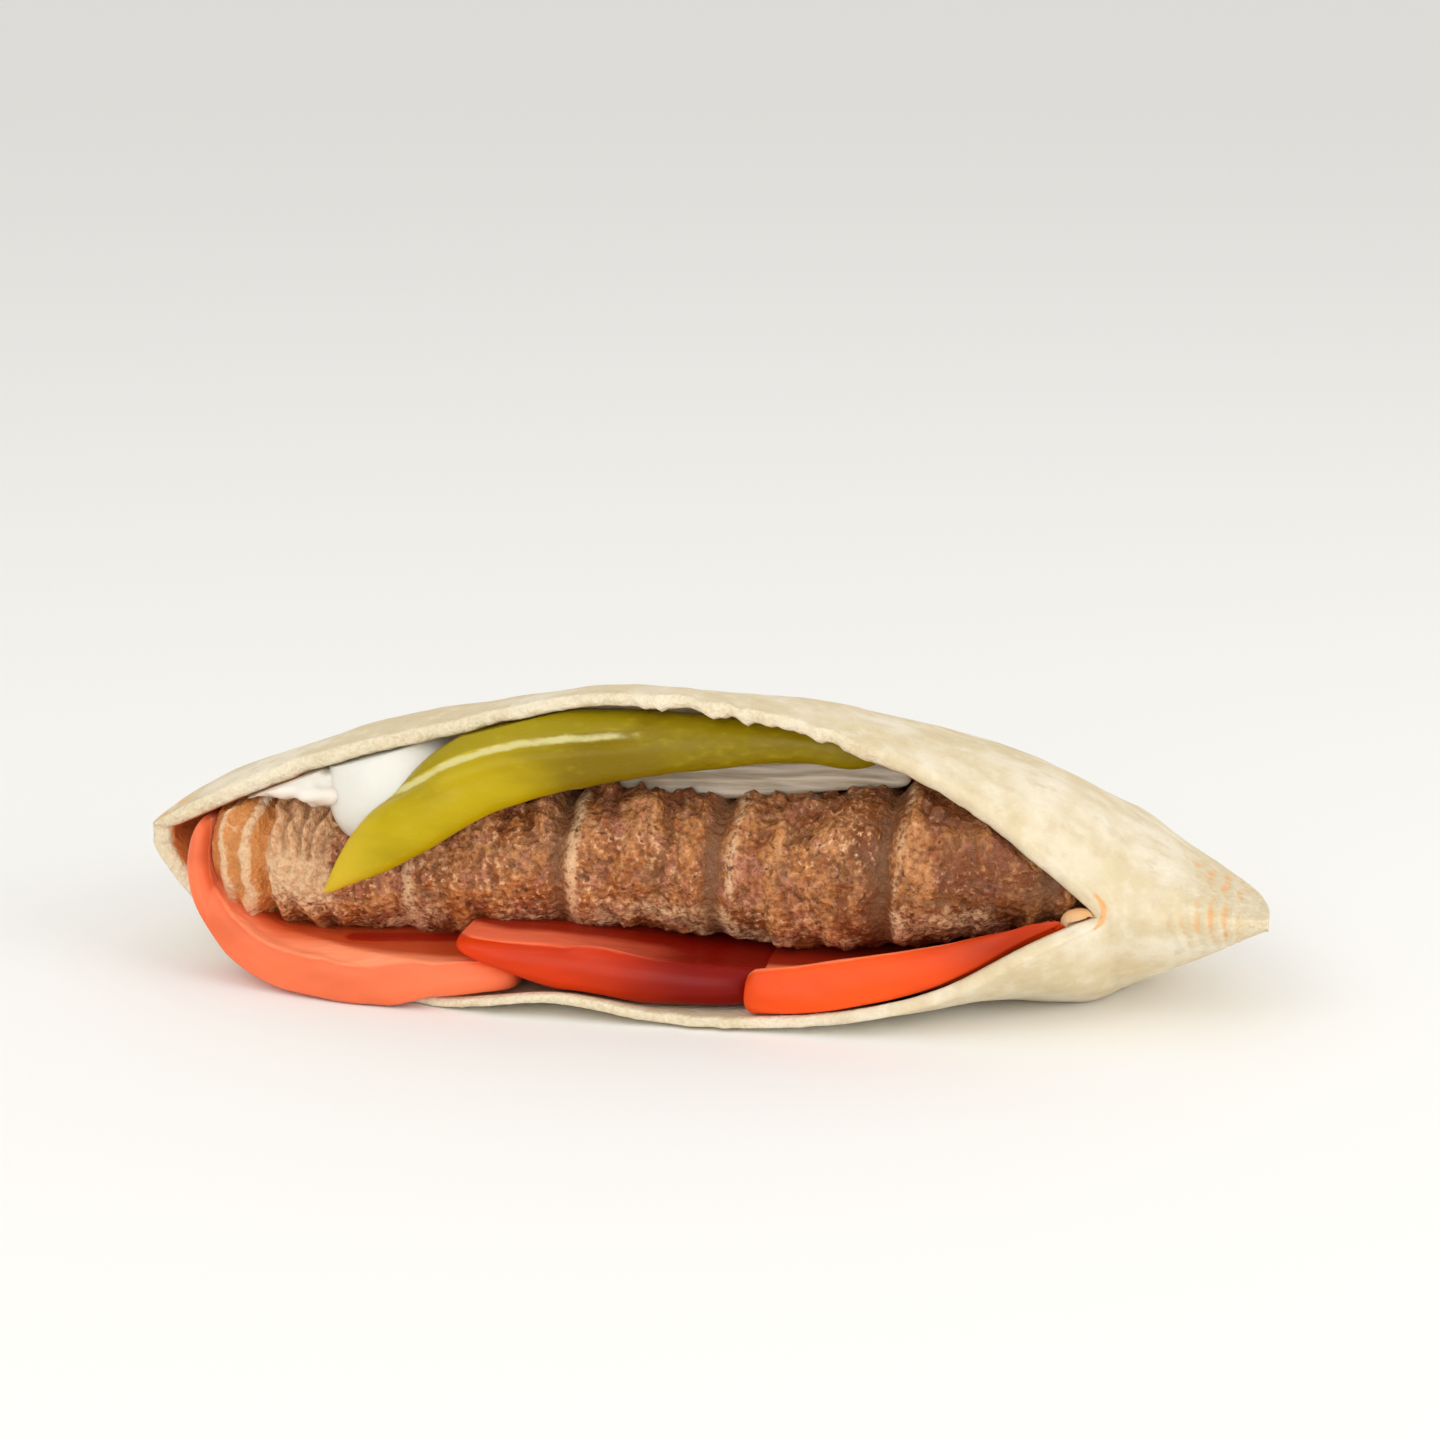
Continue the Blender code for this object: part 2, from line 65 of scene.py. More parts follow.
# Bread pocket: X of both skins' tips and corner, then its plan, walls, tip heights, set-backs and doming
OUTER_TIPS, OUTER_CORNER = (-101.5, 94.5), 69.0
INNER_TIPS, INNER_CORNER = (-97.5, 86.0), 66.0
MOUTH_Y, DEPTH, BELLY = 8.0, 76.0, 11.0
TOP_WALL, LOW_WALL, RIM_WALL, END_WALL = 2.6, 2.0, 12.0, 2.4
SWELL_START = 40.0
LEFT_TIP_Z, RIGHT_TIP_Z, CORNER_Z = 23.5, 19.6, 20.5
TOP_LIP_BACK, LIP_BACK_POWER, LIP_WALL_POWER = 5.0, 0.7, 6
SHUT_BACK, SHUT_BACK_RUN = 5.0, 8.0
RIM_DROP, CLOSING = 6.0, 30.0
RISE, SHUT_RISE, FALL = 1.0, 0.4, 0.62
DIP_RISE, DIP_FALL = 3.0, 1.5

# Heights of the lips, roof, dip and keel along X, and how far the low lip and the slices reach forward
TOP_LIP = [(-97.5, 24.3), (-72, 36.2), (-46, 44.5), (-14, 51.9), (20, 47.4), (40, 40), (57, 28),
           (66, 20.8)]
LOW_LIP = [(-97.5, 21.5), (-90, 11.5), (-82, 5.4), (-64, 2.1), (-42, 2.1), (-24, 4.6), (-3, 2.5),
           (26, 4.6), (42, 9), (57, 17), (66, 20.3)]
LOW_REACH = [(-97.5, 0), (-94, -2), (-90, -4.2), (-80, -4), (-70, -1.5), (-62, 1), (-50, 5), (-36, 8),
             (-20, 8), (10, 7.9), (40, 6.9), (57, 4.3), (66, 0)]
SLICE_REACH = [(-97.5, 0), (-94, 0.5), (-90, 1.5), (-80, 4.4), (-70, 6.6), (-62, 8), (-45, 9.2), (-20, 8),
               (10, 7.9), (40, 6.9), (57, 4.3), (66, 0)]
ROOF = [(-101.5, 23.8), (-88, 31.9), (-75, 35), (-55, 39.6), (-32, 40), (-10, 40), (8, 41.6), (25, 42.2),
        (40, 41.8), (54, 39), (64, 35.4), (72, 31.3), (80, 25.8), (88, 20.6), (94.5, 18.5)]
DIP = [(-101.5, 0), (-70, 7), (-20, 9), (20, 8), (50, 5), (75, 1.5), (94.5, 0)]
KEEL = [(-101.5, 23.5), (-90, 12), (-75, 5), (-50, 0), (25, 0), (45, -1), (58, -2), (66, -1.5), (73, 2),
        (80, 6.6), (88, 12), (94.5, 17)]

# Bread's grid: columns where it is open and shut, rows of each skin, fewer inside, and rows across a lip
OPEN_COLUMNS, SHUT_COLUMNS = 230, 90
SKIN_ROWS, INNER_COARSER, LIP_ROWS = {"top": 96, "low": 92}, 3, 7

# Bread's relief: torn and rounded lips, pleats, how far the skin sinks, and how flat the underside stays
LIP_FADE, LIP_BULGE, LIP_UNEVEN = 2.5, 0.34, 0.08
PLEAT_WAVE, PLEAT_HEIGHT = 2.9, 0.16
SKIN_SINK, TIP_ROUNDS = 0.35, (8.0, 14.0)
UNDERSIDE, UNDERSIDE_UNEVEN = 0.4, 0.15

# Fold of crumb in the mouth's corner: its middle and its half sizes
CORNER_FOLD = np.array([[64.2, 1.2, 18.9], [3.6, 1.7, 2.6]])

# Browned crescent round the mouth's corner: where it is seen, how it bends, its width and where it fades
CRESCENT_SEEN, CRESCENT_BEND = (1104, 912), 0.03
CRESCENT_WIDTH, CRESCENT_FADE = 3.6, (-24, -14)

# Kebab: its ends, Y and Z of its axis, its radius, and its pinches, with a swelling beside all but the last
KEBAB_ENDS, KEBAB_ROUNDS = (-89.5, 65.4), (8.0, 4.0)
KEBAB_Y = [(-89.5, 8.5), (-60, 12), (0, 13), (40, 12.2), (56, 10.8), (65.2, 9.6)]
KEBAB_Z = [(-89.5, 22), (-70, 19.8), (-45, 20), (-27, 21.8), (-14, 22.8), (15, 21.8), (32, 24),
           (50, 26.3), (65.2, 24.5)]
KEBAB_R = [(-89.5, 12), (-72, 12.2), (-42, 13), (-14, 12.6), (15, 13.3), (41, 14), (51, 12.2),
           (58, 10), (65.2, 6.8)]
PINCHES = [-53.4, -24.2, 3.0, 32.0, 60.0]
PINCH_SHIFT, PINCH_WIDTH, PINCH_SWAY = -0.8, 1.9, 0.8
PINCH_DEPTH, PINCH_TOP_DEPTH = 1.5, 0.7
SWELLING_SHIFT, SWELLING_WIDTH = 2.0, 1.2

# Kebab's grid, closer together on its front by KEBAB_FRONT, and the sizes of its lumps, grains and crumbs
KEBAB_COLUMNS, KEBAB_AROUND, KEBAB_FRONT = 440, 220, 1.9
LUMP_SIZE, GRAIN_SIZE, CRUMB_SIZE = np.array([3.8, 4.6, 4.6]), np.array([1.5, 1.9, 1.9]), 0.95

# Folded lobe near the kebab's left end, the bands left of it, and where sauce is seen to cap the lobe
LOBE_FROM, LOBE_TO, LOBE_BELOW, RIDGE_PITCH = (-78.0, -76.4), (-67.0, -64.0), (-0.55, -0.2), 3.2
BANDS_TO, BAND_START, BAND_PITCH = (-78.0, -76.2), 80.3, 4.3
SAUCE_CAP = [(262, 808), (275, 795), (295, 789), (318, 790), (332, 802), (342, 824)]

# Tomato slices: path holds the share of the way along and the X, Z and thickness of the middle plane, ahead
# how far each end stands before its line, tip how far its ends are drawn back, brim how high its front is
# raised, blunt how square its ends are, and droop how far it hangs where it reaches past the bread
SLICES = {
    "tomato_left": dict(
        path=[(0, -90, 27, 3), (0.12, -90.6, 19, 4), (0.26, -87.3, 10.6, 4.8), (0.42, -77.4, 5.6, 5.6),
              (1, -31, 5.2, 5.2)],
        ahead=(5.2, 0.8), depth=44.0, blunt=3.0, droop=1.9, tip=0.15, brim=0.4),
    "tomato_middle": dict(
        path=[(0, -41.5, 11.2, 2.6), (0.16, -34, 9.8, 4.6), (0.28, -27, 8.6, 6.8), (0.45, -17, 7.2, 8),
              (0.75, -1, 6.2, 7.2), (1, 12.4, 5.8, 6.2)],
        ahead=(0.6, -2.4), depth=42.0, blunt=3.2, droop=0.0, tip=0.15, brim=0.3),
    "tomato_right": dict(
        path=[(0, 9.2, 5.6, 6.4), (0.5, 37, 5.6, 6.2), (1, 62.4, 5.8, 1.4)],
        ahead=(0.9, -0.6), depth=40.0, blunt=3.6, droop=0.0, tip=0.05, brim=1.6),
}
SHALLOW, SKIN_ROUND, SLICE_CLEAR = 9.0, 2.8, 0.4
DROOP_START, DROOP_RUN, DROOP_LEFT = 2.4, 2.6, (-92.0, -84.0)
END_THINNING, END_THINNING_POWER = 1.6, 0.5
SLICE_COLUMNS, SLICE_ROWS = 181, 70

# How much painted shade darkens each slice, by where it is seen across, and how far down the painted shadow
# under the kebab is seen on the left one
SLIT_DOWN = 937
DEPTHS = {
    "tomato_left": [(160, 0), (520, 0), (560, 0.3)],
    "tomato_middle": [(440, 0), (520, 0.08), (570, 0.3), (640, 0.6), (700, 1), (800, 1)],
    "tomato_right": [(740, 0.35), (765, 0.1), (800, 0), (880, 0.05), (950, 0.4), (1010, 0.6), (1080, 0.5)],
}

# Pepper: Y and Z of its axis, half its height and thickness, and its lean back in degrees, along X
PEPPER_COLUMNS, PEPPER_AROUND = 260, 150
PEPPER_Y = [(-66, -4.6), (-61.5, -4.3), (-55, -3.6), (-47, -2), (-38, 0), (-27, 2), (-18, 3.2), (0, 5.5),
            (16, 8), (31, 10)]
PEPPER_Z = [(-66, 17.6), (-61.5, 22.8), (-55, 28.4), (-47, 34.4), (-38, 39.8), (-27, 43), (-18, 44.4),
            (0, 45.4), (16, 45.4), (31, 43.6)]
PEPPER_H = [(-66, 0), (-64, 2.2), (-61.5, 3.9), (-55, 6.4), (-47, 8.4), (-38, 8.3), (-27, 7.6), (-18, 6.7),
            (0, 4.7), (16, 3.4), (27, 2.6), (31, 0)]
PEPPER_T = [(-66, 0), (-64, 1.5), (-61.5, 2.2), (-55, 3.2), (-47, 4.2), (-38, 4.6), (-18, 4.6), (0, 4),
            (16, 3.2), (27, 2.4), (31, 0)]
PEPPER_LEAN = [(-66, 4), (-47, 18), (-18, 26), (31, 30)]

# Fold of the pepper where it is seen, where it starts and ends, and how high it is where the pod isn't thin
FOLD = [(330, 850), (385, 800), (417, 783), (450, 766), (500, 751), (562, 743), (620, 739), (700, 738)]
FOLD_FROM, FOLD_TO = (372, 400), (600, 660)
FOLD_HEIGHT, GROOVE_DEPTH, THIN_POD = 0.75, 0.55, 4.0

# Onion strip
ONION_ENDS, ONION_COLUMNS, ONION_AROUND = (-18.0, 33.5), 150, 72
ONION_Y = [(-18, 13.4), (5, 14.4), (31, 14.0), (36, 13.2)]
ONION_Z = [(-18, 36.8), (5, 38.6), (31, 40.2), (36, 39)]
ONION_HALF_HEIGHT, ONION_HALF_THICKNESS, ONION_LEAN = 5.0, 1.5, 20.0
ONION_BLUNT, ONION_SQUARE = 3, 0.8

# Sauce: middle, half sizes and bluntness of the blob and of the smear, which is thicker at its right
SAUCE_ROWS, SAUCE_AROUND = 110, 120
SAUCE_MIDDLE, SAUCE_HALF, SAUCE_BLUNT = (-55.6, 11.5, 33.6), (12.4, 15.0, 12.4), 0.6
SMEAR_MIDDLE, SMEAR_HALF, SMEAR_BLUNT = (-71.5, 8.4, 34.3), (10.5, 10.4, 2.4), 0.7
SMEAR_THICKER, SMEAR_THICKER_FROM = 1.6, (-76, -67)

# View: the aim point stands DISTANCE away and is seen at AIM_PIXEL of a square picture PICTURE wide
FOCAL, SENSOR, PICTURE = 85.0, 36.0, 1440
AZIMUTH, ELEVATION, DISTANCE = 12.0, 16.0, 594.0
AIM, AIM_PIXEL = np.array([0.0, 20.0, 25.0]), (727.0, 835.0)

# Studio: the place that the lights look at and half the floor's width, in metres, and the light all round
LIT_PLACE, FLOOR_REACH, SURROUNDINGS = (0, 0, 0.02), 15, 0.78


# Curves and noise

def along(stations, place):
    """Smooth curve through the (place, value) stations: cubic Hermite with slopes from its neighbours."""
    xs, vs = np.array(stations, float).T
    slopes = np.gradient(vs, xs)
    place = np.clip(np.asarray(place, float), xs[0], xs[-1])
    i = np.clip(np.searchsorted(xs, place) - 1, 0, len(xs) - 2)
    h = xs[i + 1] - xs[i]
    t = (place - xs[i]) / h
    return ((2 * t**3 - 3 * t**2 + 1) * vs[i] + (t**3 - 2 * t**2 + t) * h * slopes[i]
            + (3 * t**2 - 2 * t**3) * vs[i + 1] + (t**3 - t**2) * h * slopes[i + 1])


def crest(v, a, b):
    """One hump of height 1 over v from 0 to 1: v^a (1 - v)^b over its own peak."""
    peak = a / (a + b)
    return v**a * (1 - v)**b / (peak**a * (1 - peak)**b)


def rounded(v):
    """Quarter-circle rise from 0 at v = 0 to 1 at v = 1, and 1 beyond."""
    return np.sqrt(1 - (1 - np.clip(v, 0, 1))**2)


def step(v, low, high):
    """Smooth step from 0 at low to 1 at high."""
    t = np.clip((v - low) / (high - low), 0, 1)
    return t * t * (3 - 2 * t)


def fall(v, low, high):
    """Smooth step from 1 at low down to 0 at high."""
    return step(-v, -high, -low)


def bump(v, at, width):
    """Bell of height 1 at the place, exp(-((v - at) / width)^2)."""
    return np.exp(-((v - at) / width)**2)


def eased(ends, count):
    """Places between two ends, closer together near both: middle - half cos(pi t)."""
    return (ends[0] + ends[1]) / 2 - (ends[1] - ends[0]) / 2 * np.cos(np.linspace(0, np.pi, count))


def around(count):
    """Angles of one loop, as a row."""
    return np.linspace(0, 2 * np.pi, count + 1)[None, :-1]


def hashed(cell, seed):
    """A fixed value from -1 to 1 for each whole-number cell."""
    n = (cell[..., 0] * 73856093) ^ (cell[..., 1] * 19349663) ^ (cell[..., 2] * 83492791)
    n = n ^ (seed * 40503)
    n = ((n ^ (n >> 13)) * 1274126177) & 0xffffffff
    n = ((n ^ (n >> 16)) * 668265263) & 0xffffffff
    return ((n ^ (n >> 15)) & 0xffffff) / 0x800000 - 1


def noise(points, size, seed=0):
    """Smooth noise from -1 to 1 at the points: hashed values a size apart, blended by smooth steps."""
    p = points / size
    whole = np.floor(p).astype(np.int64)
    part = p - whole
    part = part * part * (3 - 2 * part)
    total = 0
    for corner in np.ndindex(2, 2, 2):
        weight = np.prod(np.where(corner, part, 1 - part), -1)
        total = total + weight * hashed(whole + np.array(corner), seed)
    return total


def cells(points, size, seed=0):
    """Grains a size across: distance to the nearest one's middle, lead over the next, and its own value."""
    p = points / size
    whole = np.floor(p).astype(np.int64)
    first = np.full(p.shape[:-1], 9.0)
    second = first.copy()
    own = np.zeros_like(first)
    for offset in np.ndindex(3, 3, 3):
        cell = whole + np.array(offset) - 1
        middle = cell + 0.5 + 0.42 * np.stack([hashed(cell, seed + k) for k in (1, 2, 3)], -1)
        away = np.linalg.norm(p - middle, axis=-1)
        nearer = away < first
        second = np.where(nearer, first, np.minimum(second, away))
        own = np.where(nearer, hashed(cell, seed + 4), own)
        first = np.minimum(first, away)
    return first, second - first, own


def normals(grid):
    """Unit normals of a grid of points: cross product of its two directions."""
    n = np.cross(np.gradient(grid, axis=0), np.gradient(grid, axis=1))
    return n / np.maximum(np.linalg.norm(n, axis=-1, keepdims=True), 1e-9)


def view():
    """Side, up and ahead directions of the view and the place where it stands."""
    a, e = np.radians(AZIMUTH), np.radians(ELEVATION)
    back = np.array([np.sin(a) * np.cos(e), -np.cos(a) * np.cos(e), np.sin(e)])
    right = np.cross(-back, [0, 0, 1])
    right /= np.linalg.norm(right)
    up = np.cross(right, -back)
    pixels = PICTURE * FOCAL / SENSOR
    off_across, off_down = (AIM_PIXEL[0] - PICTURE / 2) / pixels, (AIM_PIXEL[1] - PICTURE / 2) / pixels
    ahead = -back + off_down * up - off_across * right
    ahead /= np.linalg.norm(ahead)
    side = np.cross(ahead, [0, 0, 1])
    side /= np.linalg.norm(side)
    return side, np.cross(side, ahead), ahead, AIM + DISTANCE * back


def seen(points):
    """Where the points are seen in the view: across and down, in pixels."""
    side, up, ahead, stand = view()
    away = points - stand
    scale = PICTURE * FOCAL / SENSOR / (away @ ahead)
    return PICTURE / 2 + scale * (away @ side), PICTURE / 2 - scale * (away @ up)


# Bread's two skins

def bread_lines(x, inner):
    """Front and back lines of a bread skin at x: lips or shut front edge, back rim, and how domed it is."""
    (left, right), corner = (INNER_TIPS, INNER_CORNER) if inner else (OUTER_TIPS, OUTER_CORNER)
    s = np.sqrt(np.clip(1 - ((2 * x - left - right) / (right - left))**2, 0, 1))
    p = np.clip((x - left) / (corner - left), 0, 1)
    past = np.clip((x - corner) / (right - corner), 0, 1)
    alike = np.where(p < 1, OUTER_TIPS[0] + p * (OUTER_CORNER - OUTER_TIPS[0]),
                     OUTER_CORNER + past * (OUTER_TIPS[1] - OUTER_CORNER))
    along_alike = (2 * alike - sum(OUTER_TIPS)) / (OUTER_TIPS[1] - OUTER_TIPS[0])
    s_alike = np.sqrt(np.clip(1 - along_alike**2, 0, 1))
    on_lip = INNER_TIPS[0] + p * (INNER_CORNER - INNER_TIPS[0])
    parted = np.sin(np.pi * p)**LIP_BACK_POWER
    full = np.sqrt(1 - np.abs(2 * p - 1)**LIP_WALL_POWER)
    shut_z = np.interp(alike, [OUTER_CORNER, OUTER_TIPS[1]], [CORNER_Z, RIGHT_TIP_Z])
    shut = np.clip((x - corner + CLOSING) / CLOSING, 0, 1)
    shut = shut**2 * (3 - 2 * shut)
    rise = RISE - SHUT_RISE * shut
    peak = rise / (rise + FALL)
    tip = p <= 0
    lips = {}
    for side, lip, wall in (("top", TOP_LIP, TOP_WALL), ("low", LOW_LIP, -LOW_WALL)):
        for skin, share in (("own", not inner), ("outer", 1)):
            z = np.where(p < 1, np.maximum(along(lip, on_lip) + wall * share * full, 0), shut_z)
            lips[side, skin] = np.where(tip, LEFT_TIP_Z, z)
    rim_alike = np.interp(alike, OUTER_TIPS, [LEFT_TIP_Z, RIGHT_TIP_Z]) - RIM_DROP * s_alike
    swell = np.interp(x, [SWELL_START, corner, right], [0, END_WALL, 0]) * inner
    over = along(ROOF, alike) - (1 - peak) * lips["top", "outer"] - peak * rim_alike
    under = (1 - peak) * lips["low", "outer"] + peak * rim_alike - along(KEEL, alike)
    set_back = SHUT_BACK * np.clip((x - corner) / SHUT_BACK_RUN, 0, 1) if inner else 0
    front = MOUTH_Y - BELLY * s + set_back
    return dict(
        top_y=front + TOP_LIP_BACK * parted, top_z=lips["top", "own"],
        low_y=front - along(LOW_REACH, on_lip) * (p < 1), low_z=lips["low", "own"],
        slice_y=front - along(SLICE_REACH, on_lip) * (p < 1),
        rim_y=MOUTH_Y + (DEPTH - RIM_WALL * inner) * s,
        rim_z=np.interp(x, OUTER_TIPS, [LEFT_TIP_Z, RIGHT_TIP_Z]) - RIM_DROP * s,
        bulge=np.maximum(over - swell, 0), sag=np.maximum(under - swell, 0),
        rise=rise, dip=along(DIP, alike))


def bread_height(x, v, side, inner):
    """Height of the top or low skin at x, a share v of the way from its front edge back to the rim."""
    g = bread_lines(x, inner)
    if side == "low":
        z = g["low_z"] + (g["rim_z"] - g["low_z"]) * v - g["sag"] * crest(v, g["rise"], FALL)
        return np.maximum(z, LOW_WALL if inner else 0)
    z = g["top_z"] + (g["rim_z"] - g["top_z"]) * v + g["bulge"] * crest(v, g["rise"], FALL)
    return z - g["dip"] * crest(v, DIP_RISE, DIP_FALL)


def inner_height(x, y, side):
    """Height of the bread's inner top or low skin over x, y."""
    g = bread_lines(x, True)
    front = g[side + "_y"]
    return bread_height(x, np.clip((y - front) / (g["rim_y"] - front), 0, 1), side, True)


def floor_near(x, y, reach=0.8):
    """Highest point of the bread's inner floor within reach of x, y."""
    steps = (-reach, 0, reach)
    return np.max([inner_height(x + dx, y + dy, "low") for dx in steps for dy in steps], 0)


def kept_inside(x, y, z, clear=0.3):
    """The heights z, moved where needed so that they clear the bread above and below."""
    return np.clip(z, floor_near(x, y) + clear, inner_height(x, y, "top") - clear)


# Meshes

def net(numbers, flip=False):
    """Squares of a grid of vertex numbers."""
    a, b, c, d = numbers[:-1, :-1], numbers[:-1, 1:], numbers[1:, 1:], numbers[1:, :-1]
    faces = np.stack([a, b, c, d], -1).reshape(-1, 4)
    return faces[:, ::-1] if flip else faces


def surface(name, points, faces, finish, marks=None):
    """Object of points in millimetres, kept in the CAD box, and square faces; each mark is an attribute."""
    low, high = (np.array(corner) / MM + MIDDLE for corner in CAD_BOX)
    points = (np.clip(points, low + INSET, high - INSET) - MIDDLE) * MM
    mesh = bpy.data.meshes.new(name)
    mesh.from_pydata(points.tolist(), [], faces.tolist())
    mesh.validate()
    mesh.shade_smooth()
    for mark, values in (marks or {}).items():
        values = values.astype(np.float32).ravel()
        mesh.attributes.new(mark, "FLOAT", "POINT").data.foreach_set("value", values)
    mesh.materials.append(finish)
    made = bpy.data.objects.new(name, mesh)
    bpy.context.scene.collection.objects.link(made)
    return made


def sleeve(name, loops, finish, marks=None):
    """Closed surface of loops [column, around, xyz], its two ends drawn together to their middles."""
    columns, count = loops.shape[:2]
    loops = loops.copy()
    loops[[0, -1]] = loops[[0, -1]].mean(1, keepdims=True)
    numbers = np.arange(columns * count).reshape(columns, count)
    faces = net(np.concatenate([numbers, numbers[:, :1]], 1))
    return surface(name, loops.reshape(-1, 3), faces, finish, marks)


def stands_for(piece, node):
    """The piece rides on the one body and stands for the CAD node, whose own mesh is hidden."""
    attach(piece, "root")
    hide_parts(node)


# Materials

def tone(red, green, blue):
    """Linear colour of display values from 0 to 255."""
    c = np.array([red, green, blue]) / 255
    return (*np.where(c <= 0.04045, c / 12.92, ((c + 0.055) / 1.055)**2.4).tolist(), 1.0)


class Term:
    """A shader output that arithmetic works on; every operator adds one Math node."""

    def __init__(self, finish, socket):
        self.finish = finish
        self.socket = socket

    def __add__(self, other):
        return self.finish.math("ADD", self, other)

    __radd__ = __add__

    def __mul__(self, other):
        return self.finish.math("MULTIPLY", self, other)

    __rmul__ = __mul__

    def __sub__(self, other):
        return self.finish.math("SUBTRACT", self, other)

    def __rsub__(self, other):
        return self.finish.math("SUBTRACT", other, self)


class Finish:
    """A material in the making: its Principled shader, with constants on sockets, and what feeds it."""

    def __init__(self, name, **constants):
        self.material = bpy.data.materials.new(name)
        self.material.use_nodes = True
        self.tree = self.material.node_tree
        self.shader = self.tree.nodes["Principled BSDF"]
        for socket, value in constants.items():
            self.shader.inputs[socket.replace("_", " ")].default_value = value
        self.place = Term(self, self.node("ShaderNodeTexCoord").outputs["Object"])

    def feed(self, socket, value):
        """Link a term to the socket, or set the value on it."""
        if isinstance(value, Term):
            self.tree.links.new(value.socket, socket)
        else:
            socket.default_value = value

    def node(self, kind, settings=None, inputs=None):
        """Any node, with its settings and its inputs by name or number."""
        made = self.tree.nodes.new(kind)
        for key, value in (settings or {}).items():
            setattr(made, key, value)
        for key, value in (inputs or {}).items():
            self.feed(made.inputs[key], value)
        return made

    def math(self, operation, *values):
        """Math node over the values."""
        made = self.node("ShaderNodeMath", {"operation": operation}, dict(enumerate(values)))
        return Term(self, made.outputs[0])

    def mark(self, name):
        """The mesh's own attribute."""
        return Term(self, self.node("ShaderNodeAttribute", {"attribute_name": name}).outputs["Fac"])

    def noise(self, size, detail=3.0, stretch=(1, 1, 1), shift=0.0):
        """Noise from 0 to 1 whose patches are about size mm, stretched along the axes."""
        scale = self.node("ShaderNodeVectorMath", {"operation": "MULTIPLY"},
                          {0: self.place, 1: [1 / (s * size * MM) for s in stretch]})
        moved = self.node("ShaderNodeVectorMath", {"operation": "ADD"},
                          {0: Term(self, scale.outputs[0]), 1: (shift, shift, shift)})
        made = self.node("ShaderNodeTexNoise", {}, {"Vector": Term(self, moved.outputs[0]), "Scale": 1.0,
                                                    "Detail": detail, "Roughness": 0.55})
        return Term(self, made.outputs["Fac"])

    def step(self, value, low, high):
        """Smooth step from 0 at low to 1 at high."""
        made = self.node("ShaderNodeMapRange", {"interpolation_type": "SMOOTHSTEP"},
                         {"Value": value, "From Min": low, "From Max": high})
        return Term(self, made.outputs["Result"])

    def mix(self, share, first, second):
        """Colour between the first and the second."""
        made = self.node("ShaderNodeMix", {"data_type": "RGBA", "clamp_factor": True},
                         {0: share, 6: first, 7: second})
        return Term(self, made.outputs[2])

    def done(self, colour, roughness, relief, distance):
        """Feed colour, roughness and a bump of the relief, distance mm high, and give the material."""
        self.feed(self.shader.inputs["Base Color"], colour)
        self.feed(self.shader.inputs["Roughness"], roughness)
        bumped = self.node("ShaderNodeBump", {},
                           {"Height": relief, "Distance": distance * MM, "Strength": 1.0})
        self.feed(self.shader.inputs["Normal"], Term(self, bumped.outputs["Normal"]))
        return self.material


def bread_finish():
    """Baked pita: cream with floury and tan patches, toasted where marked, pale crumb on the cut edges."""
    m = Finish("baked bread", Specular_IOR_Level=0.25, Subsurface_Weight=0.12, Subsurface_Scale=0.002,
               Subsurface_Radius=(1.0, 0.6, 0.35))
    flour = m.step(m.noise(17, 2.0), 0.42, 0.66)
    mottle = m.noise(3.2, 4.0, shift=7.0)
    fine = m.noise(0.9, 3.0, shift=3.0)
    toast = m.mark("toast")
    crumb = m.mark("crumb")
    stain = m.mark("stain")
    colour = m.mix(flour, tone(216, 199, 163), tone(230, 219, 195))
    colour = m.mix(m.step(mottle, 0.5, 0.72) * 0.5, colour, tone(206, 185, 149))
    colour = m.mix(m.step(mottle, 0.5, 0.3) * 0.4, colour, tone(238, 228, 205))
    baked = m.step(toast + (mottle - 0.5) * 1.2 + (fine - 0.5) * 0.5, 0.35, 1.1)
    colour = m.mix(baked, colour, tone(228, 174, 118))
    colour = m.mix(m.step(toast + (fine - 0.5) * 1.6, 1.25, 1.7), colour, tone(176, 112, 56))
    colour = m.mix(m.step(crumb + (fine - 0.5) * 0.6, 0.4, 0.8), colour, tone(238, 225, 196))
    colour = m.mix(m.step(stain + (mottle - 0.5) * 1.1, 0.25, 0.9), colour, tone(226, 150, 84))
    relief = mottle * 0.55 + fine * (crumb * 1.6 + 0.35) + m.noise(0.35, 2.0) * 0.12
    return m.done(colour, 0.88 - stain * 0.3, relief, 0.45)


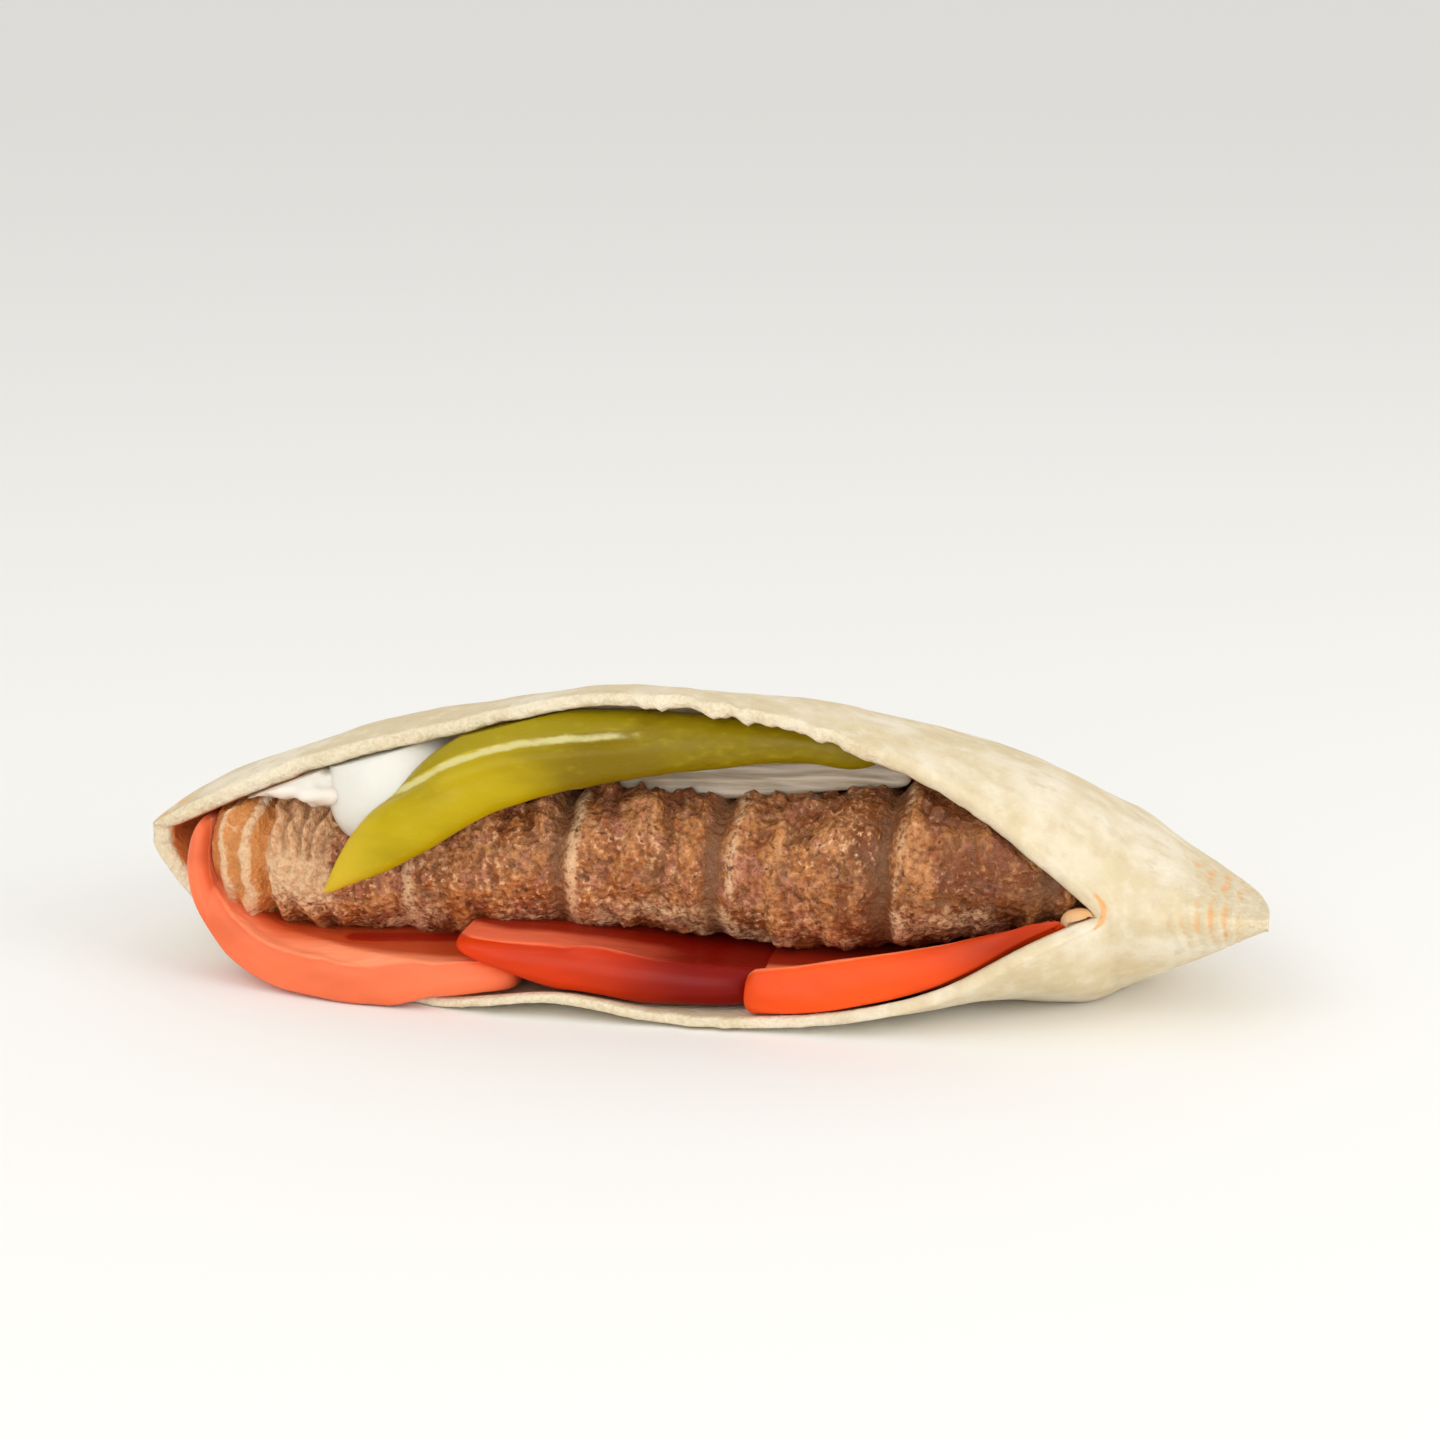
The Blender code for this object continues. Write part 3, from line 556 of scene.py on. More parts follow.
def meat_finish():
    """Grilled mince: each grain its own brown, pale where pinched with a painted highlight on the swelling
    beside each pinch, dark where charred, painted shade in gaps, grooves and toward the mouth's corner,
    painted moist glints.
    """
    m = Finish("grilled meat", Specular_IOR_Level=0.2, Subsurface_Weight=0.1, Subsurface_Scale=0.0012,
               Subsurface_Radius=(1.0, 0.5, 0.3), Coat_Weight=0.22, Coat_Roughness=0.2)
    grain = m.mark("grain")
    hollow = m.mark("hollow")
    pale = m.mark("pale")
    char = m.mark("char")
    cream = m.mark("cream")
    tan = m.mark("tan")
    wide = m.noise(7.0, 3.0)
    pink = m.noise(3.4, 2.0, shift=11.0)
    fine = m.noise(1.0, 4.0, shift=5.0)
    speck = m.noise(1.6, 2.0, shift=17.0)
    calm = 1 - 0.75 * m.mark("calm")
    glint = m.mark("glint")
    strands = m.mark("strands")
    colour = m.mix(m.step(grain, -0.7, 0.7), tone(146, 90, 44), tone(204, 142, 88))
    colour = m.mix(m.step(wide, 0.4, 0.6) * 0.7, colour, tone(168, 88, 34))
    colour = m.mix(m.step(pink, 0.5, 0.64) * 0.8, colour, tone(190, 120, 92))
    colour = m.mix(m.step(pink, 0.46, 0.36) * 0.6, colour, tone(206, 132, 68))
    # Dark brown for real char on the top and in patches, and painted shade toward the mouth's corner and low
    # at the right
    charred = m.step(char + (wide - 0.5) * 1.6 + (fine - 0.5) * 0.8, 0.3, 1.3)
    colour = m.mix(charred * 0.7, colour, tone(104, 46, 10))
    colour = m.mix(m.step(strands + (fine - 0.5), 0.1, 0.7) * 0.55, colour, tone(216, 148, 90))
    colour = m.mix(m.step(strands + (fine - 0.5), -0.1, -0.7) * 0.6, colour, tone(122, 68, 30))
    colour = m.mix(m.step(tan, 0.1, 0.9), colour, tone(216, 142, 76))
    # Pale fat in the pinches, bands and lobe, and a painted highlight on the lit swelling to the right of
    # each pinch
    colour = m.mix(m.step(pale + (fine - 0.5) * 1.1, 0.25, 1.0), colour, tone(232, 190, 146))
    # Painted highlight: pale moist glints on spots of the fine noise
    colour = m.mix(m.step(fine, 0.53, 0.68) * glint, colour, tone(238, 188, 140))
    colour = m.mix(m.step(fine, 0.5, 0.36) * calm * 0.6, colour, tone(118, 62, 26))
    colour = m.mix(m.step(speck, 0.62, 0.7) * calm * 0.8, colour, tone(84, 42, 18))
    # Painted shade: darker brown in the gaps between lumps and grains, in the lobe's folds and in the middle
    # pinch grooves
    colour = m.mix(m.step(hollow, 0.15, 1.0) * 0.85, colour, tone(126, 84, 52))
    creamy = m.step(cream + (fine - 0.5) * 0.5 + (wide - 0.5) * 0.5, 0.4, 0.62)
    colour = m.mix(creamy, colour, tone(240, 224, 206))
    rough = 0.4 + (m.noise(1.2, 2.0, shift=9.0) - 0.5) * 0.9
    return m.done(colour, rough, fine * 1.4 + speck * -0.5 + m.noise(0.4, 2.0) * 0.5, 0.6)


def tomato_finish(name, skin, flesh, gel, gel_from):
    """Tomato slice: glossy skin round the rim; flesh, gel and a painted shadow under the kebab on the cut
    face; painted shade, darker red, where marked.
    """
    m = Finish(name, Specular_IOR_Level=0.16, Subsurface_Weight=0.2, Subsurface_Scale=0.003,
               Subsurface_Radius=(1.0, 0.2, 0.06), Coat_Weight=0.05, Coat_Roughness=0.16)
    inward = m.mark("inward")
    deep = m.mark("deep")
    wide = m.noise(9.0, 2.0, stretch=(2.5, 1, 1))
    fine = m.noise(1.3, 4.0, stretch=(6.0, 1, 1))
    outer = m.mix(m.step(wide, 0.35, 0.7), skin, tuple(0.82 * c for c in skin[:3]) + (1.0,))
    inner = m.mix(m.step(fine, 0.42, 0.75) * 0.6, flesh, tuple(1.3 * c for c in flesh[:3]) + (1.0,))
    inner = m.mix(m.step(inward + (wide - 0.5) * 4.0, gel_from, gel_from + 4.0), inner, gel)
    # Painted shadow: a dark red line on the cut face just under the kebab's edge
    inner = m.mix(m.step(m.mark("slit") + (fine - 0.5) * 0.5, 0.3, 0.8), inner, tone(176, 36, 14))
    cut_face = m.step(inward + (fine - 0.5) * 0.8, 1.7, 2.4)
    colour = m.mix(cut_face, outer, inner)
    # Painted shade: darker red where the slice lies under the kebab and the other slices
    colour = m.mix(m.step(deep + (wide - 0.5) * 0.3, 0.0, 1.0), colour, tone(128, 10, 0))
    return m.done(colour, 0.3 + cut_face * 0.1, wide * 0.2 + fine * cut_face, 0.25)


def pepper_finish():
    """Pickled pepper: yellow-green skin below the fold, olive with painted shade above it and deeper in, a
    painted highlight along the ridge, a wet gloss.
    """
    m = Finish("pickled pepper", Specular_IOR_Level=0.15, Subsurface_Weight=0.15, Subsurface_Scale=0.003,
               Subsurface_Radius=(0.9, 0.8, 0.05), Coat_Weight=0.07, Coat_Roughness=0.2)
    ridge = m.mark("ridge")
    upper = m.mark("upper")
    dark = m.mark("dark")
    wide = m.noise(8.0, 2.0, stretch=(3.0, 1, 1))
    fine = m.noise(1.4, 3.0, stretch=(2.0, 1, 1))
    colour = m.mix(m.step(wide, 0.35, 0.65), tone(184, 160, 0), tone(168, 145, 0))
    # Painted shade: darker olive on the underside and on the part that runs into the pocket under the lip
    colour = m.mix(m.step(dark + (wide - 0.5) * 0.8, 0.1, 1.1), colour, tone(126, 104, 0))
    # Painted shade: darker olive on the facet above the fold, under the overhanging lip
    colour = m.mix(m.step(upper + (fine - 0.5) * 0.5, 0.3, 0.8) * 0.8, colour, tone(150, 132, 6))
    colour = m.mix(m.mark("tip") * 0.7, colour, tone(214, 182, 44))
    colour = m.mix(m.step(fine, 0.55, 0.75) * 0.15, colour, tone(204, 184, 40))
    # Painted highlight: a pale band along the fold's ridge
    colour = m.mix(m.step(ridge + (fine - 0.5) * 1.1, 0.35, 1.0) * 0.85, colour, tone(212, 204, 142))
    return m.done(colour, 0.3 + (fine - 0.5) * 0.2, wide * 0.6 + fine * 0.4, 0.35)


def onion_finish():
    """Raw onion: translucent, painted a beige-grey darker than its own white as shade under the pepper and
    lip, with fine lines along the strip.
    """
    m = Finish("raw onion", Specular_IOR_Level=0.5, Subsurface_Weight=0.35, Subsurface_Scale=0.003,
               Subsurface_Radius=(1.0, 0.9, 0.7), Coat_Weight=0.3, Coat_Roughness=0.2)
    lines = m.noise(0.9, 2.0, stretch=(18.0, 1, 1))
    wide = m.noise(7.0, 2.0)
    # Painted shade: beige-grey tones darker than raw onion's own white
    colour = m.mix(m.step(lines, 0.4, 0.65), tone(178, 161, 136), tone(208, 192, 170))
    colour = m.mix(m.step(wide, 0.45, 0.7) * 0.5, colour, tone(210, 186, 154))
    return m.done(colour, 0.35, lines, 0.2)


def sauce_finish():
    """Thick white sauce, faintly pink where it is thin over the meat."""
    m = Finish("white sauce", Specular_IOR_Level=0.5, Subsurface_Weight=0.3, Subsurface_Scale=0.004,
               Subsurface_Radius=(1.0, 0.9, 0.8), Coat_Weight=0.15, Coat_Roughness=0.25)
    wide = m.noise(6.0, 3.0)
    thin = m.mark("thin")
    colour = m.mix(m.step(thin + (wide - 0.5) * 0.8, 0.3, 1.0), tone(224, 222, 212), tone(234, 220, 204))
    return m.done(colour, 0.38, wide, 0.5)


# Pieces

def crescent_at(across, down):
    """Browned crescent where it is seen: a bell across that bends with the square of the way down."""
    off = down - CRESCENT_SEEN[1]
    bent = across + CRESCENT_BEND * off**2
    return bump(bent, CRESCENT_SEEN[0], CRESCENT_WIDTH) * step(-abs(off), *CRESCENT_FADE)


def bread_skin(inner):
    """Skin P(x, v): v runs from the top's front edge back to the rim and under it to the low front edge."""
    (left, right), corner = (INNER_TIPS, INNER_CORNER) if inner else (OUTER_TIPS, OUTER_CORNER)
    middle, half = (left + right) / 2, (right - left) / 2
    at_corner = np.arccos((middle - corner) / half)
    opened = np.linspace(0, at_corner, OPEN_COLUMNS + 1)
    shut = np.linspace(at_corner, np.pi, SHUT_COLUMNS + 1)[1:]
    x = (middle - half * np.cos(np.concatenate([opened, shut])))[:, None]
    g = bread_lines(x, inner)
    halves = []
    for side, rows in SKIN_ROWS.items():
        rows = rows // INNER_COARSER if inner else rows
        v = eased((0, 1), rows + 1)[None, :] + 0 * x
        front = g[side + "_y"]
        y = front + (g["rim_y"] - front) * v
        halves.append(np.stack([x + 0 * v, y, bread_height(x, v, side, inner)], -1))
    return np.concatenate([halves[0], halves[1][:, -2::-1]], 1)


def tear_lips(outer, inside):
    """Ragged lips: noise along X moves both skins, fading as exp(-distance from the lip / LIP_FADE)."""
    x = outer[:, 0, 0]
    lip = outer[:, :1] * (1, 0, 0)
    ragged = 0.35 * noise(lip, 3.1, 5) + 0.25 * noise(lip, 1.3, 8)
    ragged = ragged[:, 0] * step(x, -96, -80) * fall(x, 50, 66)
    torn = 0.5 + 1.1 * step(x, -20, -8) * fall(x, 28, 36)
    for grid, share in ((outer, 0.5), (inside, 1.0)):
        rows = grid.shape[1]
        nearest = np.where(np.arange(rows)[:, None] < rows / 2, grid[:, :1], grid[:, -1:])
        fade = np.exp(-np.linalg.norm(grid - nearest, axis=-1) / LIP_FADE)
        moved = (ragged * torn)[:, None] * fade * share
        grid[..., 1] += moved
        grid[:, :rows // 2, 2] += moved[:, :rows // 2] * 0.8
        grid[OPEN_COLUMNS, [0, -1]] = grid[OPEN_COLUMNS, [0, -1]].mean(0)


def puffed_skin(flat):
    """Outer skin P + n (blisters + pleats - sink), and its marks: pleats, crescent, tip and rim toasted."""
    n = -normals(flat)
    n[OPEN_COLUMNS:, [0, -1]] = n[OPEN_COLUMNS:, [0, -1]].mean(1, keepdims=True)
    x, y, z = np.moveaxis(flat, -1, 0)
    pleated = step(x, 72, 82) * fall(x, 88, 93) * bump(z, CORNER_Z - 1, 7.0)
    pleats = np.sin(PLEAT_WAVE * x + 3.2 * noise(flat, 5.0, 2) + 0.3 * (z - 18)) * pleated
    front_only = fall(y, 15, 40)
    puffed = (0.4 * noise(flat, 19.0, 3) + 0.22 * noise(flat, 7.0, 4) + 0.06 * noise(flat, 2.4, 6)
              + PLEAT_HEIGHT * pleats * front_only)
    top, low = (step(eased((0, 1), rows + 1), 0, 0.1) for rows in SKIN_ROWS.values())
    edge = np.maximum(np.concatenate([top, low[-2::-1]]), step(x, OUTER_CORNER + 1, OUTER_CORNER + 7))
    tips = rounded((x - OUTER_TIPS[0]) / TIP_ROUNDS[0]) * rounded((OUTER_TIPS[1] - x) / TIP_ROUNDS[1])
    skin = flat + n * ((puffed - SKIN_SINK) * edge * tips)[..., None]
    rested = np.minimum(skin[..., 2], z + UNDERSIDE_UNEVEN * (noise(skin, 8.0, 9) + 1))
    skin[..., 2] = np.maximum(np.where(z < UNDERSIDE, rested, skin[..., 2]), 0)

    toast = ((0.75 + 0.35 * noise(skin, 4.0, 15)) * pleated * (0.45 + 0.55 * pleats) * front_only
             + 0.1 * step(x, 84, 92)
             + 1.35 * crescent_at(*seen(skin)) * fall(y, 4, 14) * step(x, 60, 64)
             + 0.8 * fall(x, -99, -88)
             + 0.45 * bump(z, 12, 7) * step(y, 30, 60)
             + 0.3 * step(noise(skin, 11.0, 12), 0.35, 0.8))
    return skin, dict(toast=toast, crumb=0.5 * step(x, 74, 90), stain=0 * x)


def lip_strip(a, b):
    """Rounded lip from edge a to edge b: a half circle, LIP_BULGE walls high, pushed out to the front."""
    across = np.linspace(0, 1, LIP_ROWS + 2)[None, 1:-1]
    wall = np.linalg.norm(b - a, axis=-1)[:, None]
    strip = a[:, None] + (b - a)[:, None] * across[..., None]
    bulge = LIP_BULGE * wall * np.sqrt(1 - (2 * across - 1)**2)
    strip[..., 1] -= bulge + LIP_UNEVEN * wall * noise(strip, 1.1, 14)
    x = strip[..., 0]
    toast = 1.35 * crescent_at(*seen(strip)) * step(x, 56, 60)
    return strip, dict(toast=toast, crumb=0.6 - 0.6 * step(x, 20, 40), stain=0 * x)


def numbered(grid, first):
    """Vertex numbers of the grid's points, counted on from the first."""
    return first + np.arange(grid[..., 0].size).reshape(grid.shape[:2])


def pita():
    """Pocket: two skins P(x, v) that are closed at the shut end and joined by rounded lips at the mouth."""
    finish = bread_finish()
    outer, inside = bread_skin(False), bread_skin(True)
    tear_lips(outer, inside)
    outer, marks = puffed_skin(outer)
    x, y = inside[..., 0], inside[..., 1]
    stain = fall(x, -80, -55) + 0.7 * step(x, 52, 64)
    inner_marks = dict(toast=0.25 + 0 * x, crumb=0.25 * fall(y, 6, 16), stain=stain)

    numbers = numbered(outer, 0)
    inner_numbers = numbered(inside, numbers.size)
    for joined in (numbers, inner_numbers):
        joined[OPEN_COLUMNS:, -1] = joined[OPEN_COLUMNS:, 0]
    grids, all_marks = [outer, inside], [marks, inner_marks]
    faces = [net(numbers, flip=True), net(inner_numbers)]
    opened = slice(0, OPEN_COLUMNS + 1)
    for row, flip in ((0, False), (-1, True)):
        strip, strip_marks = lip_strip(outer[opened, row], inside[opened, row])
        strip_numbers = numbered(strip, sum(grid[..., 0].size for grid in grids))
        across = [numbers[opened, [row]], strip_numbers, inner_numbers[opened, [row]]]
        faces.append(net(np.concatenate(across, 1), flip))
        grids.append(strip)
        all_marks.append(strip_marks)
    points = np.concatenate([grid.reshape(-1, 3) for grid in grids])
    marks = {mark: np.concatenate([each[mark].ravel() for each in all_marks]) for mark in marks}
    stands_for(surface("pita", points, np.concatenate(faces), finish, marks), "pita")
    corner_fold(finish)


def corner_fold(finish):
    """Fold of crumb in the mouth's corner: an uneven ellipsoid, kept inside the bread."""
    polar, turn = np.linspace(0, np.pi, 70)[:, None], around(70)
    ball = [-np.cos(polar) + 0 * turn, np.sin(polar) * np.cos(turn), np.sin(polar) * np.sin(turn)]
    fold = CORNER_FOLD[0] + CORNER_FOLD[1] * np.stack(ball, -1)
    fold += 0.15 * noise(fold, 1.6, 71)[..., None]
    fold[..., 2] = kept_inside(*np.moveaxis(fold, -1, 0), clear=0.05)
    flat = 0 * fold[..., 0]
    # Browned all over, which also stands in for painted shade in the mouth's corner
    folded = sleeve("pita_fold", fold, finish, dict(toast=flat + 0.95, crumb=flat, stain=flat + 0.15))
    stands_for(folded, "pita")


def kebab():
    """Kebab: r(x, turn) = (girth - pinches + relief) ends; x runs along it and turn goes round its axis."""
    x = np.linspace(*KEBAB_ENDS, KEBAB_COLUMNS)[:, None]
    s = np.linspace(-1, 1, KEBAB_AROUND + 1)[None, :-1]
    turn = np.pi + KEBAB_FRONT * s + (np.pi - KEBAB_FRONT) * s**3
    height = np.sin(turn)
    ends = rounded((x - KEBAB_ENDS[0]) / KEBAB_ROUNDS[0]) * rounded((KEBAB_ENDS[1] - x) / KEBAB_ROUNDS[1])
    girth = along(KEBAB_R, x)
    base = np.stack([x + 0 * turn, girth * np.cos(turn), girth * height], -1)

    # Pinches and the swellings beside them, and the zones: folded lobe, banded left end, and inland the rest
    sway = PINCH_SWAY * np.sin(turn + 1) + 0.7 * noise(base, 6.0, 21)
    pinch = sum(bump(x, at + PINCH_SHIFT + sway, PINCH_WIDTH) for at in PINCHES)
    beside = np.clip(sum(bump(x, at + SWELLING_SHIFT + sway, SWELLING_WIDTH) for at in PINCHES[:4]), 0, 1)
    dull = np.clip(pinch + beside, 0, 1)
    upper = step(height, 0.05, 0.4)
    lobe = step(x, *LOBE_FROM) * fall(x, *LOBE_TO) * step(height, *LOBE_BELOW)
    left = fall(x, *BANDS_TO)
    calm = np.clip(lobe + left, 0, 1)
    inland = 1 - calm

    # Relief: lumps, grains and crumbs of mince, strands, the lobe's folds, the jagged top and the bands
    bent = base + 1.1 * np.stack([noise(base, 3.4, seed) for seed in (23, 24, 25)], -1)
    lump, lump_lead, lump_own = cells(bent, LUMP_SIZE, 26)
    grain, grain_lead, own = cells(bent, GRAIN_SIZE, 29)
    crumb, crumb_lead, crumb_own = cells(bent, CRUMB_SIZE, 33)
    strands = noise(bent * (1, 0.3, 0.3), 2.4, 48)
    ridges = np.cos(2 * np.pi * (x + 2.4 * noise(base, 4.0, 49)) / RIDGE_PITCH)
    banding = np.cos(2 * np.pi * (x + BAND_START + 1.5 * noise(base, 5.0, 34)) / BAND_PITCH)
    banding = banding + 0.5 * noise(base, 2.2, 51)
    rough = (1 - 0.7 * dull) * (1 - 0.4 * left) * (1 - 0.8 * lobe)
    relief = (0.6 * (0.5 - lump) + 0.35 * noise(base, 9.0, 22) + 0.22 * lump_own
              + rough * (0.6 * (0.5 - grain) + 0.2 * own + 0.25 * (0.45 - crumb) + 0.9 * strands)
              + lobe * (upper * 0.85 * ridges + (1 - upper) * (1.3 * (0.5 - grain) + 0.35 * own))
              + 0.2 * beside)
    jagged = step(height, 0.45, 0.8) * fall(np.cos(turn), -0.1, 0.5) * (1 - lobe) * (1 - left) * (1 - dull)
    relief = relief + jagged * (1.3 * step(noise(base, 2.2, 39), -0.2, 0.6) - 0.3)
    shoulder = lobe * bump(x, -71, 5) - 1.6 * bump(x, -77.4, 0.9) * fall(x, -70, -60)
    pressed = (PINCH_DEPTH + PINCH_TOP_DEPTH * height) * pinch
    r = (girth - pressed + relief + left * 0.6 * banding + shoulder) * ends
    y = along(KEBAB_Y, x) + r * np.cos(turn)
    gap = 0.3 + 0.7 * grain + 0.4 * (1 - strands)
    z = kept_inside(x, y, along(KEBAB_Z, x) + r * height, gap)
    loops = np.stack([x + 0 * y, y, z], -1)

    # Marks for the finish
    across, down = seen(loops)
    # Painted shade in the gaps between lumps, grains and crumbs, in the lobe's folds and in the middle
    # pinches
    hollow = ((bump(grain_lead, 0, 0.1) * 0.35 + bump(crumb_lead, 0, 0.1) * 0.2) * inland
              + bump(lump_lead, 0, 0.08) * 0.45 * inland
              + lobe * (upper * 0.65 * step(-ridges, 0.3, 1.0)
                        + (1 - upper) * 0.4 * bump(grain_lead, 0, 0.12)))
    hollow = np.clip(hollow, 0, 1) * (1 - 0.8 * dull)
    hollow = np.clip(hollow + 0.9 * pinch * step(x, -45, -20), 0, 1)
    # The beside term is a painted highlight on each pinch's lit right swelling; the rest is the meat's own
    # pale fat, bands, lobe and underside
    pale = (beside * (0.6 + 0.4 * noise(base, 3.0, 47)) + left * (0.3 + 0.9 * banding)
            + 0.35 * bump(x, -53.0, 3.5) + 0.4 * bump(x, -24.2, 3.0)
            + 0.7 * step(-height, 0.1, 0.6) * step(noise(base, 6.0, 35), -0.7, 0.3)
            + lobe * (0.95 - 0.25 * upper))
    # Painted highlight: where the glints show, fewer toward the shaded right end
    glint = 0.35 + 0.65 * step(noise(base, 6.0, 50), -0.1, 0.5)
    glint = glint * (1 - 0.75 * step(across, 900, 990))
    # Real char on the top and in noise patches; the darkening to the right by where it is seen, and low at
    # the right, is painted shade toward the mouth's corner
    char = (0.6 * step(height, 0.5, 0.9) * step(x, -60, -30)
            + 0.35 * step(across, 760, 860) + 0.7 * bump(across, 857, 26) + 0.8 * step(across, 900, 1000)
            + 0.6 * step(across, 840, 900) * step(down, 875, 910)
            - 0.5 * lobe + 0.4 * step(noise(base, 5.0, 36), 0.2, 0.8) - 0.3 * left)
    capped = 1.2 * step(across, 260, 268) * fall(across, 340, 346)
    over_cap = down - along(SAUCE_CAP, across)
    cream = capped * step(-over_cap - 5 * noise(base, 4.0, 37), -7, 3)
    tan = left * (0.8 - 0.6 * banding) + 0.35 * lobe
    marks = dict(grain=0.6 * own + 0.3 * crumb_own + 0.3 * lump_own, hollow=hollow, pale=pale, char=char,
                 cream=cream, tan=tan, calm=calm, glint=glint, strands=strands)
    stands_for(sleeve("kebab", loops, meat_finish(), marks), "kebab")


def tomato(name, skin, flesh, gel, gel_from):
    """Slice carried along its path in X and Z: half thickness = quarter-round of the way from its edge."""
    size = SLICES[name]
    shares, xs, zs, thicks = zip(*size["path"])
    run = eased((0, 1), SLICE_COLUMNS)[:, None]
    x, z, thick = (along(list(zip(shares, values)), run) for values in (xs, zs, thicks))
    slope_x, slope_z = np.gradient(x, axis=0), np.gradient(z, axis=0)
    steep = np.hypot(slope_x, slope_z)
    wide = np.clip(1 - np.abs(2 * run - 1)**size["blunt"], 0, 1)**(1 / size["blunt"])
    pocket = bread_lines(x, True)
    base = pocket["slice_y"] - np.interp(run, [0, 1], size["ahead"])
    front = base + size["tip"] * size["depth"] * (1 - wide)
    back = base + size["depth"] * (size["tip"] + (1 - size["tip"]) * wide)
    back = np.minimum(back, pocket["rim_y"] - SHALLOW)
    t = np.linspace(0, 1, SLICE_ROWS)[None, :]
    y = front + (back - front) * (0.35 * t**3 + 0.65 * t**2) * (3 - 2 * t)
    edge = rounded(np.minimum(y - front, back - y) / SKIN_ROUND)
    half = edge * thick / 2 * np.minimum(1, END_THINNING * wide)**END_THINNING_POWER
    over_x, over_z = -slope_z / steep * half, slope_x / steep * half
    lift = np.maximum(0, floor_near(x - over_x, y) + 0.3 - (z - over_z))
    brim = size["brim"] * edge * wide * step(front - y, -8, -3)
    back_over = slice(-2, 0, -1)
    loop_x = np.concatenate([x - over_x, (x + over_x)[:, back_over]], 1)
    loop_y = np.concatenate([y, y[:, back_over]], 1)
    loop_z = np.concatenate([z - over_z + lift, (z + over_z + lift + brim)[:, back_over]], 1)
    loop_z = np.minimum(loop_z, inner_height(loop_x, loop_y, "top") - SLICE_CLEAR)
    overhang = np.clip((bread_lines(loop_x, False)["low_y"] - DROOP_START - loop_y) / DROOP_RUN, 0, 1)
    loop_z = loop_z - size["droop"] * overhang * np.interp(loop_x, DROOP_LEFT, [0, 1])
    loops = np.stack([loop_x, loop_y, loop_z], -1)
    loops += 0.12 * normals(loops) * noise(loops, 6.0, 41)[..., None]

    inward = np.concatenate([y - front, (y - front)[:, back_over]], 1)
    across, down = seen(loops)
    # Painted shadow under the kebab's overhang, on the left slice's cut face
    slit = bump(down, SLIT_DOWN, 5.5) * step(across, 335, 355) * fall(across, 455, 480)
    # deep is painted shade by where the slice is seen across
    marks = dict(inward=inward, deep=along(DEPTHS[name], across), slit=slit)
    stands_for(sleeve(name, loops, tomato_finish(name, skin, flesh, gel, gel_from), marks), name)


def leaning(x, y, z, up, across, lean):
    """Loops at x, y, z whose up and across leave the axis leaning back by the angle in degrees."""
    c, s = np.cos(np.radians(lean)), np.sin(np.radians(lean))
    return np.stack([x + 0 * up, y + across * c + up * s, z + up * c - across * s], -1)


def pepper():
    """Flattened pod: loop (T cos t, H sin t), folded where it is seen to cross the fold line."""
    x = eased((PEPPER_Y[0][0], PEPPER_Y[-1][0]), PEPPER_COLUMNS)[:, None]
    turn = around(PEPPER_AROUND)
    height, thick = along(PEPPER_H, x), along(PEPPER_T, x)
    height[[0, -1]], thick[[0, -1]] = 0, 0
    plain = leaning(x, along(PEPPER_Y, x), along(PEPPER_Z, x), height * np.sin(turn), thick * np.cos(turn),
                    along(PEPPER_LEAN, x))
    across, down = seen(plain)
    below = down - along(FOLD, across)
    front = fall(np.cos(turn), -0.2, 0.2) * step(across, *FOLD_FROM) * fall(across, *FOLD_TO)
    fold = FOLD_HEIGHT * front * (bump(below, 0, 4.5) + 0.5 * step(-below, 0, 6))
    fold = fold - GROOVE_DEPTH * front * bump(below, 13, 8)
    dents = 0.3 * noise(plain, 9.0, 51) + 0.08 * noise(plain, 2.6, 52)
    loops = plain + normals(plain) * ((dents + fold) * np.minimum(1, height / THIN_POD))[..., None]
    loops[..., 2] = kept_inside(*np.moveaxis(loops, -1, 0))

    # Painted shade on the underside and deeper in under the lip
    low_side = step(-np.sin(turn), 0.2, 0.95) * step(across, 520, 640)
    marks = dict(ridge=front * bump(below, -4, 5.0),
                 # upper is painted shade above the fold and toward the pocket
                 upper=front * step(-below, 5, 12) + step(across, 600, 680) * 0.5,
                 tip=fall(across, 340, 390),
                 dark=0.4 * low_side + 0.95 * step(across, 450, 610))
    stands_for(sleeve("pepper", loops, pepper_finish(), marks), "pepper")


def onion():
    """Bent strip: flattened loops along its run, with thin layers waving along it."""
    x = eased(ONION_ENDS, ONION_COLUMNS)[:, None]
    turn = around(ONION_AROUND)
    c, s = np.cos(turn), np.sin(turn)
    run = (x - ONION_ENDS[0]) / (ONION_ENDS[1] - ONION_ENDS[0])
    size = np.clip(1 - np.abs(2 * run - 1)**ONION_BLUNT, 0, 1)**(1 / ONION_BLUNT)
    up = ONION_HALF_HEIGHT * size * np.sign(s) * np.abs(s)**ONION_SQUARE
    across = ONION_HALF_THICKNESS * size * np.sign(c) * np.abs(c)**ONION_SQUARE
    layers = 0.12 * np.sin(2.6 * up + 0.1 * x)
    loops = leaning(x, along(ONION_Y, x), along(ONION_Z, x), up, across * (1 + layers), ONION_LEAN)
    stands_for(sleeve("onion", loops, onion_finish()), "onion")


